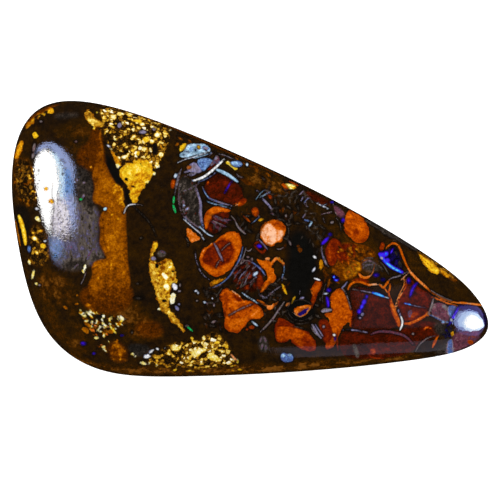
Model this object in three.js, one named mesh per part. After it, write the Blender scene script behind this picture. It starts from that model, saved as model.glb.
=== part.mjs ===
// A polished freeform cabochon of boulder opal, built as the one stone that it is: a low dome over a
// rounded girdle, on a flat ground back. Millimetres, +Z up. The stone lies on its back with the broad
// end towards -X and the tip towards +X, and the origin is under the middle of its length and width.
import * as THREE from "three";

// Driving dimensions
const LENGTH = 38;
const WIDTH = 22;
const THICKNESS = 6.4; // from the back to the crown of the dome
const GIRDLE_HEIGHT = 2.4; // above the back, where the stone is widest
const BACK_INSET = 0.9; // how far the edge of the back lies inside the girdle
const DOME_POWER = 3; // 2 gives an ellipsoid, and more a flatter face with rounder shoulders
const CROWN = new THREE.Vector2(-3.6, -1.4); // where the dome is highest

// Control points of the closed curve that the girdle follows, seen from above and going round against
// the clock from the top of the broad end: its rounded shoulder, the end itself, the wide lower corner,
// the long lower edge, the tip, and the long slanting upper edge.
const GIRDLE_POINTS = [
  [-14.6, 11.3],
  [-17.5, 10.3],
  [-18.9, 7.6],
  [-19.2, 3.9],
  [-18.6, -0.6],
  [-17.5, -5.5],
  [-15.4, -8.9],
  [-11.7, -10.9],
  [-6.6, -11.1],
  [4.0, -10.7],
  [12.6, -9.8],
  [17.0, -9.1],
  [19.0, -7.8],
  [19.2, -6.5],
  [18.3, -4.7],
  [15.9, -2.3],
  [8.1, 2.5],
  [-1.0, 6.8],
  [-9.3, 10.2],
];

// How finely the surface is divided
const STEPS_PER_POINT = 7; // round the girdle, for each control point
const DOME_RINGS = 15; // from the girdle to the crown
const WALL_RINGS = 4; // from the back to the girdle

// A closed uniform cubic B-spline, whose curvature runs on without a break as a ground edge's does.
class ClosedSpline extends THREE.Curve {
  constructor(points) {
    super();
    this.points = points.map(([x, y]) => new THREE.Vector2(x, y));
  }

  getPoint(t, target = new THREE.Vector2()) {
    const count = this.points.length;
    const along = (((t % 1) + 1) % 1) * count;
    const first = Math.floor(along);
    const u = along - first;
    const weights = [
      (1 - u) ** 3,
      3 * u ** 3 - 6 * u ** 2 + 4,
      -3 * u ** 3 + 3 * u ** 2 + 3 * u + 1,
      u ** 3,
    ];
    target.set(0, 0);
    weights.forEach((weight, i) => target.addScaledVector(this.points[(first + i) % count], weight / 6));
    return target;
  }
}

// Points of the girdle, moved and scaled so that they fill LENGTH by WIDTH about the origin.
function girdleOutline() {
  const curve = new ClosedSpline(GIRDLE_POINTS);
  const steps = GIRDLE_POINTS.length * STEPS_PER_POINT;
  const points = Array.from({ length: steps }, (_, i) => curve.getPoint(i / steps));
  const box = new THREE.Box2().setFromPoints(points);
  const centre = box.getCenter(new THREE.Vector2());
  const scale = new THREE.Vector2(LENGTH, WIDTH).divide(box.getSize(new THREE.Vector2()));
  return points.map((p) => p.sub(centre).multiply(scale));
}

// The same outline drawn in by a distance, square to the edge at each point.
function insetOutline(outline, distance) {
  const count = outline.length;
  return outline.map((p, i) => {
    const along = outline[(i + 1) % count].clone().sub(outline[(i + count - 1) % count]).normalize();
    return new THREE.Vector2(p.x - along.y * distance, p.y + along.x * distance);
  });
}

// Rings of the wall, from the back up to just under the girdle. The wall leaves the back at a slant and
// turns upright at the girdle.
function wallRings(outline) {
  return Array.from({ length: WALL_RINGS }, (_, i) => {
    const height = i / WALL_RINGS;
    return { points: insetOutline(outline, BACK_INSET * (1 - height) ** 2), z: GIRDLE_HEIGHT * height };
  });
}

// Rings of the dome, from the girdle up to just under the crown. Each is the outline shrunk towards the
// crown, and the section through the crown is a superellipse, upright at the girdle.
function domeRings(outline) {
  return Array.from({ length: DOME_RINGS }, (_, i) => {
    const angle = ((i / DOME_RINGS) * Math.PI) / 2;
    const share = Math.cos(angle) ** (2 / DOME_POWER);
    return {
      points: outline.map((p) => new THREE.Vector2().lerpVectors(CROWN, p, share)),
      z: GIRDLE_HEIGHT + (THICKNESS - GIRDLE_HEIGHT) * Math.sin(angle),
    };
  });
}

// A closed surface through the rings, with one point in the middle of each end.
function stoneGeometry() {
  const outline = girdleOutline();
  const rings = [...wallRings(outline), ...domeRings(outline)];
  const count = outline.length;
  const positions = rings.flatMap(({ points, z }) => points.flatMap((p) => [p.x, p.y, z]));
  const back = rings.length * count;
  const crown = back + 1;
  positions.push(CROWN.x, CROWN.y, 0, CROWN.x, CROWN.y, THICKNESS);

  const triangles = [];
  const top = (rings.length - 1) * count;
  for (let i = 0; i < count; i++) {
    const next = (i + 1) % count;
    triangles.push(back, next, i, crown, top + i, top + next);
    for (let lower = 0; lower < top; lower += count) {
      const upper = lower + count;
      triangles.push(lower + i, lower + next, upper + next, lower + i, upper + next, upper + i);
    }
  }

  const geometry = new THREE.BufferGeometry();
  geometry.setAttribute("position", new THREE.Float32BufferAttribute(positions, 3));
  geometry.setIndex(triangles);
  geometry.computeVertexNormals();
  return geometry;
}

const stone = new THREE.Mesh(
  stoneGeometry(),
  new THREE.MeshStandardMaterial({ color: 0x3b2210, roughness: 0.12, metalness: 0 }),
);
stone.name = "stone";

const cabochon = new THREE.Group();
cabochon.add(stone);

export default cabochon;
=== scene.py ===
"""Looks of a polished boulder opal cabochon: one dense skin over the CAD stone, with its markings."""
import math
from collections import namedtuple

import bpy
import numpy as np
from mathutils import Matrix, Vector
from mathutils.geometry import delaunay_2d_cdt


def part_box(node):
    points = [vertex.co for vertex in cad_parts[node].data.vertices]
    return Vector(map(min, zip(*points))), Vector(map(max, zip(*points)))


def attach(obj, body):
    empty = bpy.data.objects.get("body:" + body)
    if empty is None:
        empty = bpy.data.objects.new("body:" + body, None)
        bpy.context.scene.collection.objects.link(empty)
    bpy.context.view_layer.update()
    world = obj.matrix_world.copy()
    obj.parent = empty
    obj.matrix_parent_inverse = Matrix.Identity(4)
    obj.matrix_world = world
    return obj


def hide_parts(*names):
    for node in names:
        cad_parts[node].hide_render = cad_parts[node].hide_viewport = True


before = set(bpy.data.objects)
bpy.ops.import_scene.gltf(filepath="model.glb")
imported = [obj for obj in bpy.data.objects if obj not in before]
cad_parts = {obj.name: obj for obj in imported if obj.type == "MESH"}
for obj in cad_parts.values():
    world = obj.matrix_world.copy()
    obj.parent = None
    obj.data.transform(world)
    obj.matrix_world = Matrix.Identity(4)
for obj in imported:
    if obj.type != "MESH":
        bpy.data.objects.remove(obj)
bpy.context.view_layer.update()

# Driving dimensions, in metres, as the solid has them
BOX_LOW, BOX_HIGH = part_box("stone")
LENGTH = BOX_HIGH.x - BOX_LOW.x
WIDTH = BOX_HIGH.y - BOX_LOW.y
THICKNESS = BOX_HIGH.z
GIRDLE_HEIGHT = 0.0024
BACK_INSET = 0.0009
DOME_POWER = 3
CROWN = np.array([-0.0036, -0.0014])

# The stone in the photograph's 500 x 500 frame, seen from straight above
PHOTO_SIZE = 500
STONE_LEFT, STONE_RIGHT = 11.7, 488.4
STONE_TOP, STONE_BOTTOM = 101.4, 376.1
PIXEL = np.array([LENGTH / (STONE_RIGHT - STONE_LEFT), WIDTH / (STONE_BOTTOM - STONE_TOP)])
STONE_MIDDLE = np.array([(STONE_LEFT + STONE_RIGHT) / 2, (STONE_TOP + STONE_BOTTOM) / 2])

# Camera: a long lens straight over the middle of the frame
LENS_MM = 200
SENSOR_MM = 36
CAMERA_RISE = LENS_MM / SENSOR_MM * PHOTO_SIZE * PIXEL[0]
CAMERA_PLACE = (PHOTO_SIZE / 2 - STONE_MIDDLE) * PIXEL * (1, -1)

# How finely the skin is divided: steps in pixels of the photograph, and points and rings round the edge
FACE_STEP = 1.2
BACK_STEP = 3.0
SEED_STEP = 0.7
RING_POINTS = 900
RIM_RINGS = 7
WALL_RINGS = 8
RIM_START = math.radians(18.5)
RIM_CLEARANCE = 0.006  # of the reach, kept free between the face's points and the first ring

# Markings. Lengths are pixels of the photograph, and tones are places on the ramps below.
FAMILIES = ("limonite", "jasper", "chalcedony", "opal")  # in the order in which the material lays them
FAR = 8.0  # a mark has no effect further away than this
BACK_SHIFT = np.array([1000.0, 0.0])  # the back's markings are drawn beside the photograph
BACK_START = PHOTO_SIZE + 100
GROUND_TONE = 0.4
CORNER_CUT = 0.25
LINE_BLUR = 0.85  # the photograph shows a line wider than it is by this much
THINNEST_LINE = 0.7
LINE_WANDER = 0.35
SOFT_WANDER = 0.3
GRAIN_WANDER, GRAIN_WANDER_MOST = 0.45, 0.8
GRAIN_CORNERS = 6
SPECKLE_SIZES = (0.6, 1.2)
SPECKLE_TRIES = 6
CHANCE = np.random.default_rng(7)
BACK_CHANCE = np.random.default_rng(11)
BACK_NODULES = 16
BACK_CRACKS = 22
BACK_FLECKS = 60
TINY = 1e-9

RAMPS = {
    "ground": [
        (0.0, (15, 14, 12)),
        (0.3, (30, 19, 9)),
        (0.55, (46, 27, 4)),
        (0.75, (63, 33, 2)),
        (1.0, (112, 66, 16)),
    ],
    "limonite": [
        (0.0, (46, 23, 2)),
        (0.2, (92, 42, 0)),
        (0.4, (152, 80, 0)),
        (0.55, (196, 122, 6)),
        (0.63, (218, 150, 14)),
        (0.7, (234, 178, 20)),
        (0.82, (248, 210, 44)),
        # The palest stops serve pale chunks and the painted glints on golden grains
        (0.92, (254, 236, 140)),
        (1.0, (255, 250, 224)),
    ],
    # The palest stops of the gold sand are painted glints on its brightest grains
    "gold sand": [
        (0.0, (22, 14, 5)),
        (0.2, (62, 38, 8)),
        (0.4, (128, 82, 14)),
        (0.55, (178, 126, 26)),
        (0.7, (222, 174, 46)),
        (0.84, (248, 222, 118)),
        (1.0, (255, 250, 226)),
    ],
    "jasper": [
        (0.0, (38, 11, 2)),
        (0.15, (64, 18, 3)),
        (0.3, (98, 23, 4)),
        (0.4, (122, 33, 1)),
        (0.5, (148, 52, 0)),
        (0.6, (180, 72, 0)),
        (0.75, (216, 104, 4)),
        (0.87, (238, 142, 68)),
        (1.0, (246, 188, 150)),
    ],
    "chalcedony": [
        (0.0, (34, 29, 25)),
        (0.08, (58, 50, 44)),
        (0.15, (92, 82, 74)),
        # Stops 0.19 and 0.23 are mostly the violet-grey and blue-grey of the painted reflection haze at the
        # broad end
        (0.19, (74, 65, 75)),
        (0.23, (88, 86, 116)),
        (0.27, (90, 50, 62)),
        (0.32, (108, 56, 72)),
        (0.38, (124, 112, 108)),
        (0.5, (134, 126, 160)),
        (0.57, (58, 84, 148)),
        (0.65, (116, 150, 200)),
        (0.75, (162, 202, 228)),
        (0.88, (218, 218, 234)),
        (1.0, (255, 255, 255)),
    ],
    "opal": [
        (0.0, (9, 8, 20)),
        (0.2, (30, 14, 110)),
        (0.38, (66, 22, 228)),
        (0.52, (34, 70, 246)),
        (0.66, (46, 160, 250)),
        (0.8, (120, 220, 250)),
        (0.9, (222, 238, 255)),
        (0.93, (20, 150, 70)),
        (1.0, (24, 190, 96)),
    ],
}
HALO_COLOUR = (10, 8, 7)

# For each family: how far its edge wanders, in pixels, how much its tone varies over broad and fine
# lumps, and how dark a line it draws around itself
EDGE_WANDER = {"limonite": 1.2, "jasper": 1.0, "chalcedony": 0.5, "opal": 0.7}
TONE_DRIFT = {"limonite": 0.07, "jasper": 0.08, "chalcedony": 0.03, "opal": 0.04}
TONE_GRAIN = {"limonite": 0.09, "jasper": 0.07, "chalcedony": 0.04, "opal": 0.04}
HALO = {"limonite": 0.3, "jasper": 0.6, "chalcedony": 0.75, "opal": 0.5}
HALO_START, HALO_FULL = 2.4, 0.4  # pixels outside the edge
HALO_WANDER = (0.2, 0.3)  # marks with a soft edge wander less than this and draw no dark line
EDGE_BLUR = 0.6

# Noises of the material: size in pixels of the photograph, detail and roughness
NOISES = {
    "fine": (1.8, 1, 0.6),
    "lumps": (4, 2, 0.6),
    "mottle": (9, 3, 0.6),
    "cloud": (34, 2, 0.5),
    "polish": (1.3, 0, 0.5),
}
STREAK_NOISE = (2, 2, 0.6)
NOISE_GAIN = 4.0

# How much the noises vary the tone of the ground, and the lightness of everything
GROUND_SWING = {"cloud": 0.25, "mottle": 0.4, "lumps": 0.2, "fine": 0.12}
SHADE_SWING = {"mottle": 0.14, "lumps": 0.18, "fine": 0.08}

# Streaks and pits of the chalcedony, scattered tones of the sand with painted glints on its brightest
# grains, and the polish
STREAK_TURN = math.radians(-15)
STREAK_SQUEEZE = 0.3
STREAK_DEPTH = 0.5
PITS = (0.1, 0.9)
SAND_SIZE = 3.6
SAND_POWER = 2.1
SAND_GAP = (0.02, 0.14)
SAND_GAP_DEPTH = 0.4
SAND_FULL = 0.4
ROUGHNESS, ROUGHNESS_SWING = 0.054, 0.01
BUMP_STRENGTH, BUMP_HEIGHT = 0.07, 0.00001
POLISHED_SPECULAR = 0.5
REFRACTION = 1.5

# Studio
WHITE = (1, 1, 1, 1)
FLOOR_COLOUR = (0.8, 0.8, 0.8, 1)
FLOOR_ROUGHNESS = 0.9
FLOOR_HALF = 1.5
FLOOR_DROP = 0.00002
WORLD_STRENGTH = 0.6
KEY_PLACE = (-0.22, 0.27, 0.6)
KEY_SIZE = 0.5
KEY_ENERGY = 2.4

# Glowing cards that the polish mirrors: name, distance from the face in metres, strength, colour, and the
# outline of the reflection in pixels of the photograph
CARDS = (
    ("left_window", 0.04, 28, (1, 1, 1),
     "34,167 36,159 41,152 46,150 51,153 55,160 58,172 59,186 57,198 53,206 51,220 50,233 46,227 41,213 "
     "36,188"),
    ("left_glow", 0.05, 18, (0.94, 0.9, 1), "55,200 64,198 69,210 70,226 67,234 52,235 53,218"),
    ("left_fringe", 0.05, 23, (0.62, 0.83, 1),
     "50,151 57,156 61,163 64,172 64,186 63,197 59,200 60,186 59,172 55,159"),
    ("left_blue", 0.056, 14, (0.2, 0.45, 1), "63,172 69,169 72,180 72,193 66,200 63,197 65,186"),
    ("left_sky", 0.064, 14, (0.45, 0.57, 1),
     "35,154 39,147 45,143.5 54,144 62,149 68,156 74,166 74,178 73,192 75,205 76,220 75,229 70,231 69,212 "
     "63,198 64,184 63,172 60,162 55,153 49,148"),
    ("left_azure", 0.056, 12, (0.22, 0.46, 1), "49,242 59,240 64,246 60,255 52,256"),
    ("tip_window", 0.012, 24, (1, 1, 1),
     "464,322 467,317 471,314 477,316 482,321 483,325 479,328 472,329 466,327"),
    ("tip_halo", 0.0135, 21, (0.62, 0.77, 1),
     "462,323 465,316 471,312 478,314 483,320 484,326 479,330 471,331 464,329"),
    ("tip_fringe", 0.015, 19, (0.5, 0.66, 1),
     "457,320 460,314 466,311 474,311.5 480,315 476,317 470,315 465,318 464,327 459,326"),
    ("tip_glow", 0.019, 11, (0.38, 0.48, 1),
     "454,317 459,311 470,309.5 479,312 483,319 480,330 470,331 459,330 453,323"),
    ("tip_sky", 0.022, 2.2, (0.42, 0.34, 1),
     "452,316 457,307 466,305 476,305.5 481,310 484,320 482,331 478,335 466,335 455,331"),
    ("cell_veil", 0.08, 0.22, (0.85, 0.75, 1), "352,290 405,285 450,302 452,322 400,328 352,328"),
    ("lower_strip", 0.06, 0.55, (0.78, 0.76, 1),
     "270,347 340,345 400,342 440,339 450,338 450,348 430,351 360,354 290,357"),
)

Mark = namedtuple("Mark", "family tone core fade wander distance low high seeds")
marks = []


def spots(points):
    """Points as an array, also from a text like "12,30 15,34" in pixels of the photograph."""
    if isinstance(points, str):
        points = [word.split(",") for word in points.split()]
    return np.array(points, float)


def cut_corners(points, closed, rounds=2):
    """The points with their corners cut, so that a listed line bends smoothly."""
    line = spots(points)
    rest = 1 - CORNER_CUT
    for _ in range(rounds):
        after = np.roll(line, -1, axis=0) if closed else line[1:]
        before = line if closed else line[:-1]
        leaving = before * rest + after * CORNER_CUT
        arriving = before * CORNER_CUT + after * rest
        cut = np.stack([leaving, arriving], axis=1).reshape(-1, 2)
        line = cut if closed else np.vstack([line[:1], cut, line[-1:]])
    return line


def to_segments(places, start, end):
    """Distance of each place to the nearest segment, and how far along the line the nearest point is."""
    along = end - start
    length = np.hypot(along[:, 0], along[:, 1])
    offset = places[:, None, :] - start[None]
    share = np.clip((offset * along).sum(2) / np.maximum(length**2, TINY), 0, 1)
    gap = np.linalg.norm(offset - share[..., None] * along, axis=2)
    nearest = gap.argmin(1)
    rows = np.arange(len(places))
    passed = np.concatenate([[0], np.cumsum(length)])
    place = (passed[nearest] + share[rows, nearest] * length[nearest]) / passed[-1]
    return gap[rows, nearest], place


def inside(places, start, end):
    """Whether each place lies inside the closed outline."""
    x, y = places[:, 0:1], places[:, 1:2]
    spans = (start[:, 1] > y) != (end[:, 1] > y)
    rise = np.where(end[:, 1] == start[:, 1], TINY, end[:, 1] - start[:, 1])
    crossing = start[:, 0] + (y - start[:, 1]) * (end[:, 0] - start[:, 0]) / rise
    return (spans & (x < crossing)).sum(1) % 2 == 1


def add_mark(family, tone, core, fade, wander, distance, outline, seeds=None):
    """Keep a mark with the box in which it has an effect. Its seeds become points of the skin."""
    low = outline.min(0) - FAR
    high = outline.max(0) + FAR
    core = tone if core is None else core
    marks.append(Mark(family, tone, core, fade, wander, distance, low, high, seeds))


def patch(family, tone, points, core=None, fade=4.0, rounds=2, soft=1.0):
    """A closed area, with tone at its edge and core from fade pixels inside. soft widens the edge."""
    outline = cut_corners(points, True, rounds)
    after = np.roll(outline, -1, axis=0)

    def distance(places):
        gap, _ = to_segments(places, outline, after)
        return np.where(inside(places, outline, after), -gap, gap) / soft

    wander = 1.0 if soft == 1 else SOFT_WANDER / soft
    add_mark(family, tone, core, fade, wander, distance, outline)


def vein(family, tone, width, points, core=None, fade=2.0, taper=0.6):
    """A line that looks as wide as that in the photograph, thinner towards its ends."""
    line = cut_corners(points, False)
    half = max(width - LINE_BLUR, THINNEST_LINE) / 2
    steps = np.linspace(0, len(line) - 1, 2 * len(line))
    seeds = np.column_stack([np.interp(steps, np.arange(len(line)), line[:, k]) for k in (0, 1)])

    def distance(places):
        gap, place = to_segments(places, line[:-1], line[1:])
        return gap - half * (1 - taper * np.abs(2 * place - 1) ** 3)

    add_mark(family, tone, core, fade, LINE_WANDER, distance, line, seeds)


def grain(family, tone, x, y, long, short=None, turn=0.0, core=None, fade=2.0):
    """A small oval, turned clockwise by turn degrees."""
    short = long if short is None else short
    middle = np.array([x, y], float)
    angle = math.radians(turn)
    axes = np.array([[math.cos(angle), -math.sin(angle)], [math.sin(angle), math.cos(angle)]])
    radii = np.array([long, short])

    def distance(places):
        return (np.linalg.norm((places - middle) @ axes / radii, axis=1) - 1) * min(long, short)

    around = np.arange(GRAIN_CORNERS) * math.tau / GRAIN_CORNERS
    ring = middle + np.column_stack([np.cos(around) * long, np.sin(around) * short]) @ axes.T
    wander = min(GRAIN_WANDER_MOST, GRAIN_WANDER * min(long, short))
    add_mark(family, tone, core, fade, wander, distance, ring, np.vstack([middle, ring]))


def grains(family, tone, ovals):
    """Small ovals, each written as x,y,long,short,turn."""
    for oval in ovals.split():
        grain(family, tone, *map(float, oval.split(",")))


def speckle(family, tones, area, count, long, short, turn=0.0, spread=90.0, fade=2.0):
    """Small ovals scattered over an area, all lying within spread degrees of the same way."""
    corners = spots(area)
    after = np.roll(corners, -1, axis=0)
    places = CHANCE.uniform(corners.min(0), corners.max(0), (count * SPECKLE_TRIES, 2))
    for x, y in places[inside(places, corners, after)][:count]:
        size = CHANCE.uniform(*SPECKLE_SIZES)
        tone = CHANCE.uniform(*tones)
        lie = turn + CHANCE.uniform(-spread, spread)
        grain(family, tone, x, y, long * size, short * size, lie, fade=fade)


def left_end():
    """The broad end: golden margin, sandy spots, and a grey veil of painted reflection haze round the large
    reflection.
    """
    patch("ground", 0.8, "14,160 26,158 34,172 36,204 22,206 13,190", fade=5)
    patch("ground", 0.62, "60,125 84,124 98,140 92,158 76,152 62,142", fade=9)
    patch("ground", 0.1, "15,204 30,208 32,240 24,250 16,225", fade=4)
    patch("ground", 0.3, "60,100 84,103 84,122 52,126 40,130 44,116", fade=6)
    patch("ground", 0.82, "40,276 54,274 70,280 76,296 62,308 46,304 38,290", fade=9)
    patch("chalcedony", 0.03, "54,116 62,114 78,114 78,117 62,119 56,119", soft=5)
    margin = "14,160 26,158 34,172 37,206 22,206 14,190"
    patch("limonite", 0.04, margin, soft=4)
    patch("sand", 0.4, margin)
    speckle("limonite", (0.2, 0.4), margin, 12, 2, 0.9)
    speckle("limonite", (0.9, 1.0), "27,166 33,168 37,206 32,200", 9, 1.1, 0.7)
    vein("limonite", 0.16, 3.4, "25,126 33,117 42,111 52,107 60,105")
    speckle("limonite", (0.4, 0.7), "24,128 33,117 46,110 52,110 40,119 30,128", 14, 1.8, 0.9, -40, 40)
    grain("limonite", 0.66, 50.5, 111.5, 2.8, 3)
    patch("limonite", 0.72, "32,135 35,132 38,134 38,137.5 35,138.5")
    patch("limonite", 0.45, "14,160 16,150 19,142 23,140 24,146 20,156 17,161", core=0.64, fade=2.5)
    vein("limonite", 0.7, 4.6, "18.5,215.5 20.5,220 23,228 24.5,236 25.5,244",
         core=0.8, fade=1.2, taper=0.4)
    vein("limonite", 0.4, 2.6, "15.5,221 17.5,232 20.5,246")
    sandy = "30,226 40,224 47,236 50,250 48,262 38,268 30,262 28,248"
    patch("limonite", 0.06, sandy, soft=3)
    patch("sand", 0.55, sandy)
    grains("limonite", 0.93, "37.5,219,2.8,2.1,45 34.5,238.5,3.2,2.2,30 36.5,252.5,2.3,1.4,50 "
           "29.5,262,1.2,2.4 33,274,1,3.8,14 36,283.5,1.5,1.1,40")
    grains("limonite", 0.8, "41,231,1.8,1.2 43,246,3,2.6,35 33,233,1.4,1")
    grains("chalcedony", 0.38, "34,148,1.2,3.4,10 33,156,1.2,2.6,15 41,122,1.2,0.9 76,142,1,0.9 "
           "39.5,285,1,0.8")
    grains("chalcedony", 0.92, "37,209,1.7,1.2 45,241,1.2,1")
    grain("chalcedony", 0.6, 29, 249, 1.5, 3)
    # Painted reflection haze: violet-grey round the large reflection, with dark specks and light streaks in
    # it and a bluer patch at its lower end
    reflection_haze = "54,196 76,194 92,203 99,214 97,232 97,246 104,254 98,262 86,266 66,270 54,262 48,246"
    patch("chalcedony", 0.19, reflection_haze, soft=6)
    patch("chalcedony", 0.22, "50,241 64,239 78,241 84,247 76,256 60,258", soft=5)
    patch("chalcedony", 0.04, "64,262 78,259 90,262 86,269 68,272", soft=5)
    patch("chalcedony", 0.03, "74,170 84,166 92,178 95,200 92,212 83,206 78,198", soft=5)
    speckle("chalcedony", (0.0, 0.05), reflection_haze, 130, 2.2, 0.7, 70, 30)
    speckle("chalcedony", (0.13, 0.16), "76,206 96,210 98,250 104,256 88,264 78,240", 70, 1.8, 0.5, 70, 25)
    speckle("dull", (0.5, 1), "58,156 66,160 72,190 66,200 62,176", 40, 1.1, 0.6, fade=0.7)
    speckle("dull", (0.6, 1), "54,198 72,198 76,214 72,236 52,236 56,214", 46, 1.2, 0.7, fade=0.7)
    speckle("dull", (0.5, 1), "34,160 38,158 41,200 48,232 44,234 36,200", 26, 0.9, 0.6, fade=0.7)
    vein("dull", 1.0, 1.4, "53,184 51.5,194 54,206 53,220 53,232 49.5,240", fade=0.7)
    for x, y, size in ((46, 189, 2.4), (51.5, 201.5, 3)):
        grain("dull", 1.0, x, y, size, size * 0.8, fade=0.8)
        grain("limonite", 0.62, x, y, size, size * 0.8)
    grain("opal", 1.0, 81, 199.5, 1.4, 1)
    grains("chalcedony", 0.8, "83.5,196.5,0.7,1.6,20 75,182.5,0.8 77,180.5,0.8 84,183,1,0.7")
    patch("limonite", 0.96, "84.5,264 87,264 86.5,268 84,272.5 82.5,271")
    vein("chalcedony", 0.38, 1.2, "73,269 77,265 79,264")
    patch("chalcedony", 0.08, "92,250 104,254 99,262 90,260", soft=3)
    vein("chalcedony", 0.38, 1.3, "87,259 90,254 93,248 96,250 97,256 104,257")
    vein("chalcedony", 0.38, 1.3, "86,272 84,278 81,284")


def ochre_band():
    """The ochre band across the stone, the dark gap on its right and a crack painted white as a glint."""
    patch("limonite", 0.12, "92,128 101,130 104,152 106,166 96,172 84,170 76,160 80,148 90,142", soft=4)
    patch("limonite", 0.15, "78,296 86,286 96,287 110,291 131,284 134,298 126,311 104,314 86,308", soft=4)
    patch("limonite", 0.28, "93,170 98,160 103,158 107,168 111,176 115,183 121,187 124,193 123,203 "
          "126,210 126,225 127,245 128,265 131,282 128,292 112,300 96,300 88,292 88,284 93,275 91,263 "
          "99,259 108,259 103,252 99,244 101,231 98,222 101,214 106,209 100,205 93,203 92,197 95,187 "
          "92,177", core=0.385, fade=3, soft=2)
    patch("limonite", 0.3, "98,270 112,264 124,270 126,286 110,292 98,286", soft=10)
    patch("limonite", 0.19, "96,290 112,287 128,286 126,299 108,303 94,300", soft=8)
    patch("limonite", 0.3, "98,150 103,152 106,166 100,174 94,170", soft=3)
    vein("limonite", 0.32, 3, "101,130 100,138 102,146 103,154")
    patch("limonite", 0.41, "100,178 108,176 114,186 108,194 100,190", soft=6)
    vein("limonite", 0.62, 2.4, "115,184 120,187 123,192 122,198")
    vein("limonite", 0.64, 2.2, "117,202 121,198 123,204 126,209")
    speckle("limonite", (0.56, 0.68), "114,186 122,188 124,206 118,206 114,196", 14, 2.6, 0.8, -35, 25)
    vein("limonite", 0.58, 1.2, "112,262 110,270 112,275")
    vein("limonite", 0.14, 1.6, "99,215 104,222 103,240 108,252")
    grains("limonite", 0.78, "91,167.5,1.1,1 98,278,0.9 118,219,1 112,215,0.8")
    patch("ground", 0.0, "104,154 111,157 118,170 124,182 122,187 114,182 107,168", fade=2)
    patch("ground", 0.0, "124,186 128,190 133,203 127,205 124,198", fade=2)
    grain("opal", 0.86, 105, 209, 1.7, 1.3, -30)
    # Painted glint: a white line where light catches the crack
    vein("chalcedony", 0.95, 1.7, "124,213.5 125.5,209 128,205.5 132,204.5 136,204.5")
    vein("chalcedony", 0.38, 1.5, "136,204.5 139,205 142.5,205.5")
    vein("chalcedony", 0.07, 1.4, "134,207 138,211 146,218 152,226 156,236")


def gold_fan():
    """The fan of golden sand at the top, with painted glints on its brightest grains, and the solid gold
    under it.
    """
    fan = (
        "98,104 124,110 148,118 172,128 165,156 156,170 150,166 144,160 128,161 119,168 110,150 105,138 "
        "103,126"
    )
    patch("limonite", 0.1, fan, soft=2)
    patch("sand", 1.0, fan)
    speckle("hole", (0.0, 0.1), "102,124 112,120 126,150 118,158 108,148", 26, 2, 0.9)
    # Bright specks: golden grains with painted glints on them
    speckle("limonite", (0.8, 1.0), fan, 44, 1.7, 0.9)
    chunk = "84,113 88,110 91,113 95,119 103,123 103,128 97,127 92,128 88,122 85,118"
    patch("limonite", 0.5, chunk, core=0.56, rounds=1)
    patch("sand", 0.3, chunk, fade=1)
    patch("limonite", 0.52, "110,150 115,153 119,160 123,166 119,168 114,160")
    body = (
        "119,173 121,168 125,167 127,163 131,164 134,160 139,158.5 143,161 147,159.5 150,163 153,167 "
        "152,171 155,174 151,177 149,182 145,184 144,189 141,191 138,196 137,201 134,205 131,200 129,195 "
        "130,190 127,187 125,182 121,178"
    )
    patch("limonite", 0.66, body, core=0.72, fade=5, rounds=1)
    speckle("limonite", (0.42, 0.6), "123,174 140,168 148,178 140,194 132,196", 26, 2.6, 0.8, -35, 30)
    speckle("limonite", (0.76, 0.88), "122,172 130,164 148,163 150,174 130,184", 26, 2.4, 0.9, -35, 30)
    speckle("hole", (0.0, 0.2), "118,156 150,154 148,163 122,168", 10, 1.4, 0.8)
    # The palest grains, here and in the next list: golden grains with painted glints on them
    grains("limonite", 0.97, "113.5,117.5,3.2,2.2,25 142,125,2.8,1.8,10 138.5,128.5,2.2,1.3,15 "
           "134,137,2.5,1.7 152,142,2.5,1.8 144,149.5,2.7,2.4 157,135.5,2.8,2.4 123.5,157.5,2.3,1.8 "
           "118,166,2.2,2,45 161,155,2.8,2.4")
    grains("limonite", 0.9, "120,114.5,3,1.5 129,115.5,4,1,15 157,166,2.2,2.4 154,174,1.8,1.5 "
           "126.5,147.5,2.2,1.2,-20 135,147,3,1,10 112,127,3,0.9,35 104,118.5,2.6,1,25 147,182,2,1.6 "
           "148.5,157.5,1.6,1.3 94,129,1.2,1.4")
    grains("limonite", 0.76, "146,140,3.6,2.8 138,121.5,5,1.8,5 133,151,2.4,1.6 138,154,1.8,2.4 "
           "97,113,1.2,1")
    grain("limonite", 0.5, 161, 147, 1, 3, -20)
    patch("hole", 0.05, "152,144 156,143 158,150 156,157 152,153", soft=1.5)
    grains("hole", 0.05, "126,180,2,1.8 122,164.5,1.4,1 127.5,162.5,2,1 132,186.5,3,0.8,10 "
           "137.5,160,1.4,1")
    grains("chalcedony", 0.47, "143,132.5,3.2,1.6 119.5,126,2,2.2,30 154,130,1.3,1")
    grain("chalcedony", 0.85, 108.5, 146.5, 1.8, 0.8, 35)
    grain("limonite", 0.4, 177, 145, 1.8, 1.2, -40)


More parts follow.
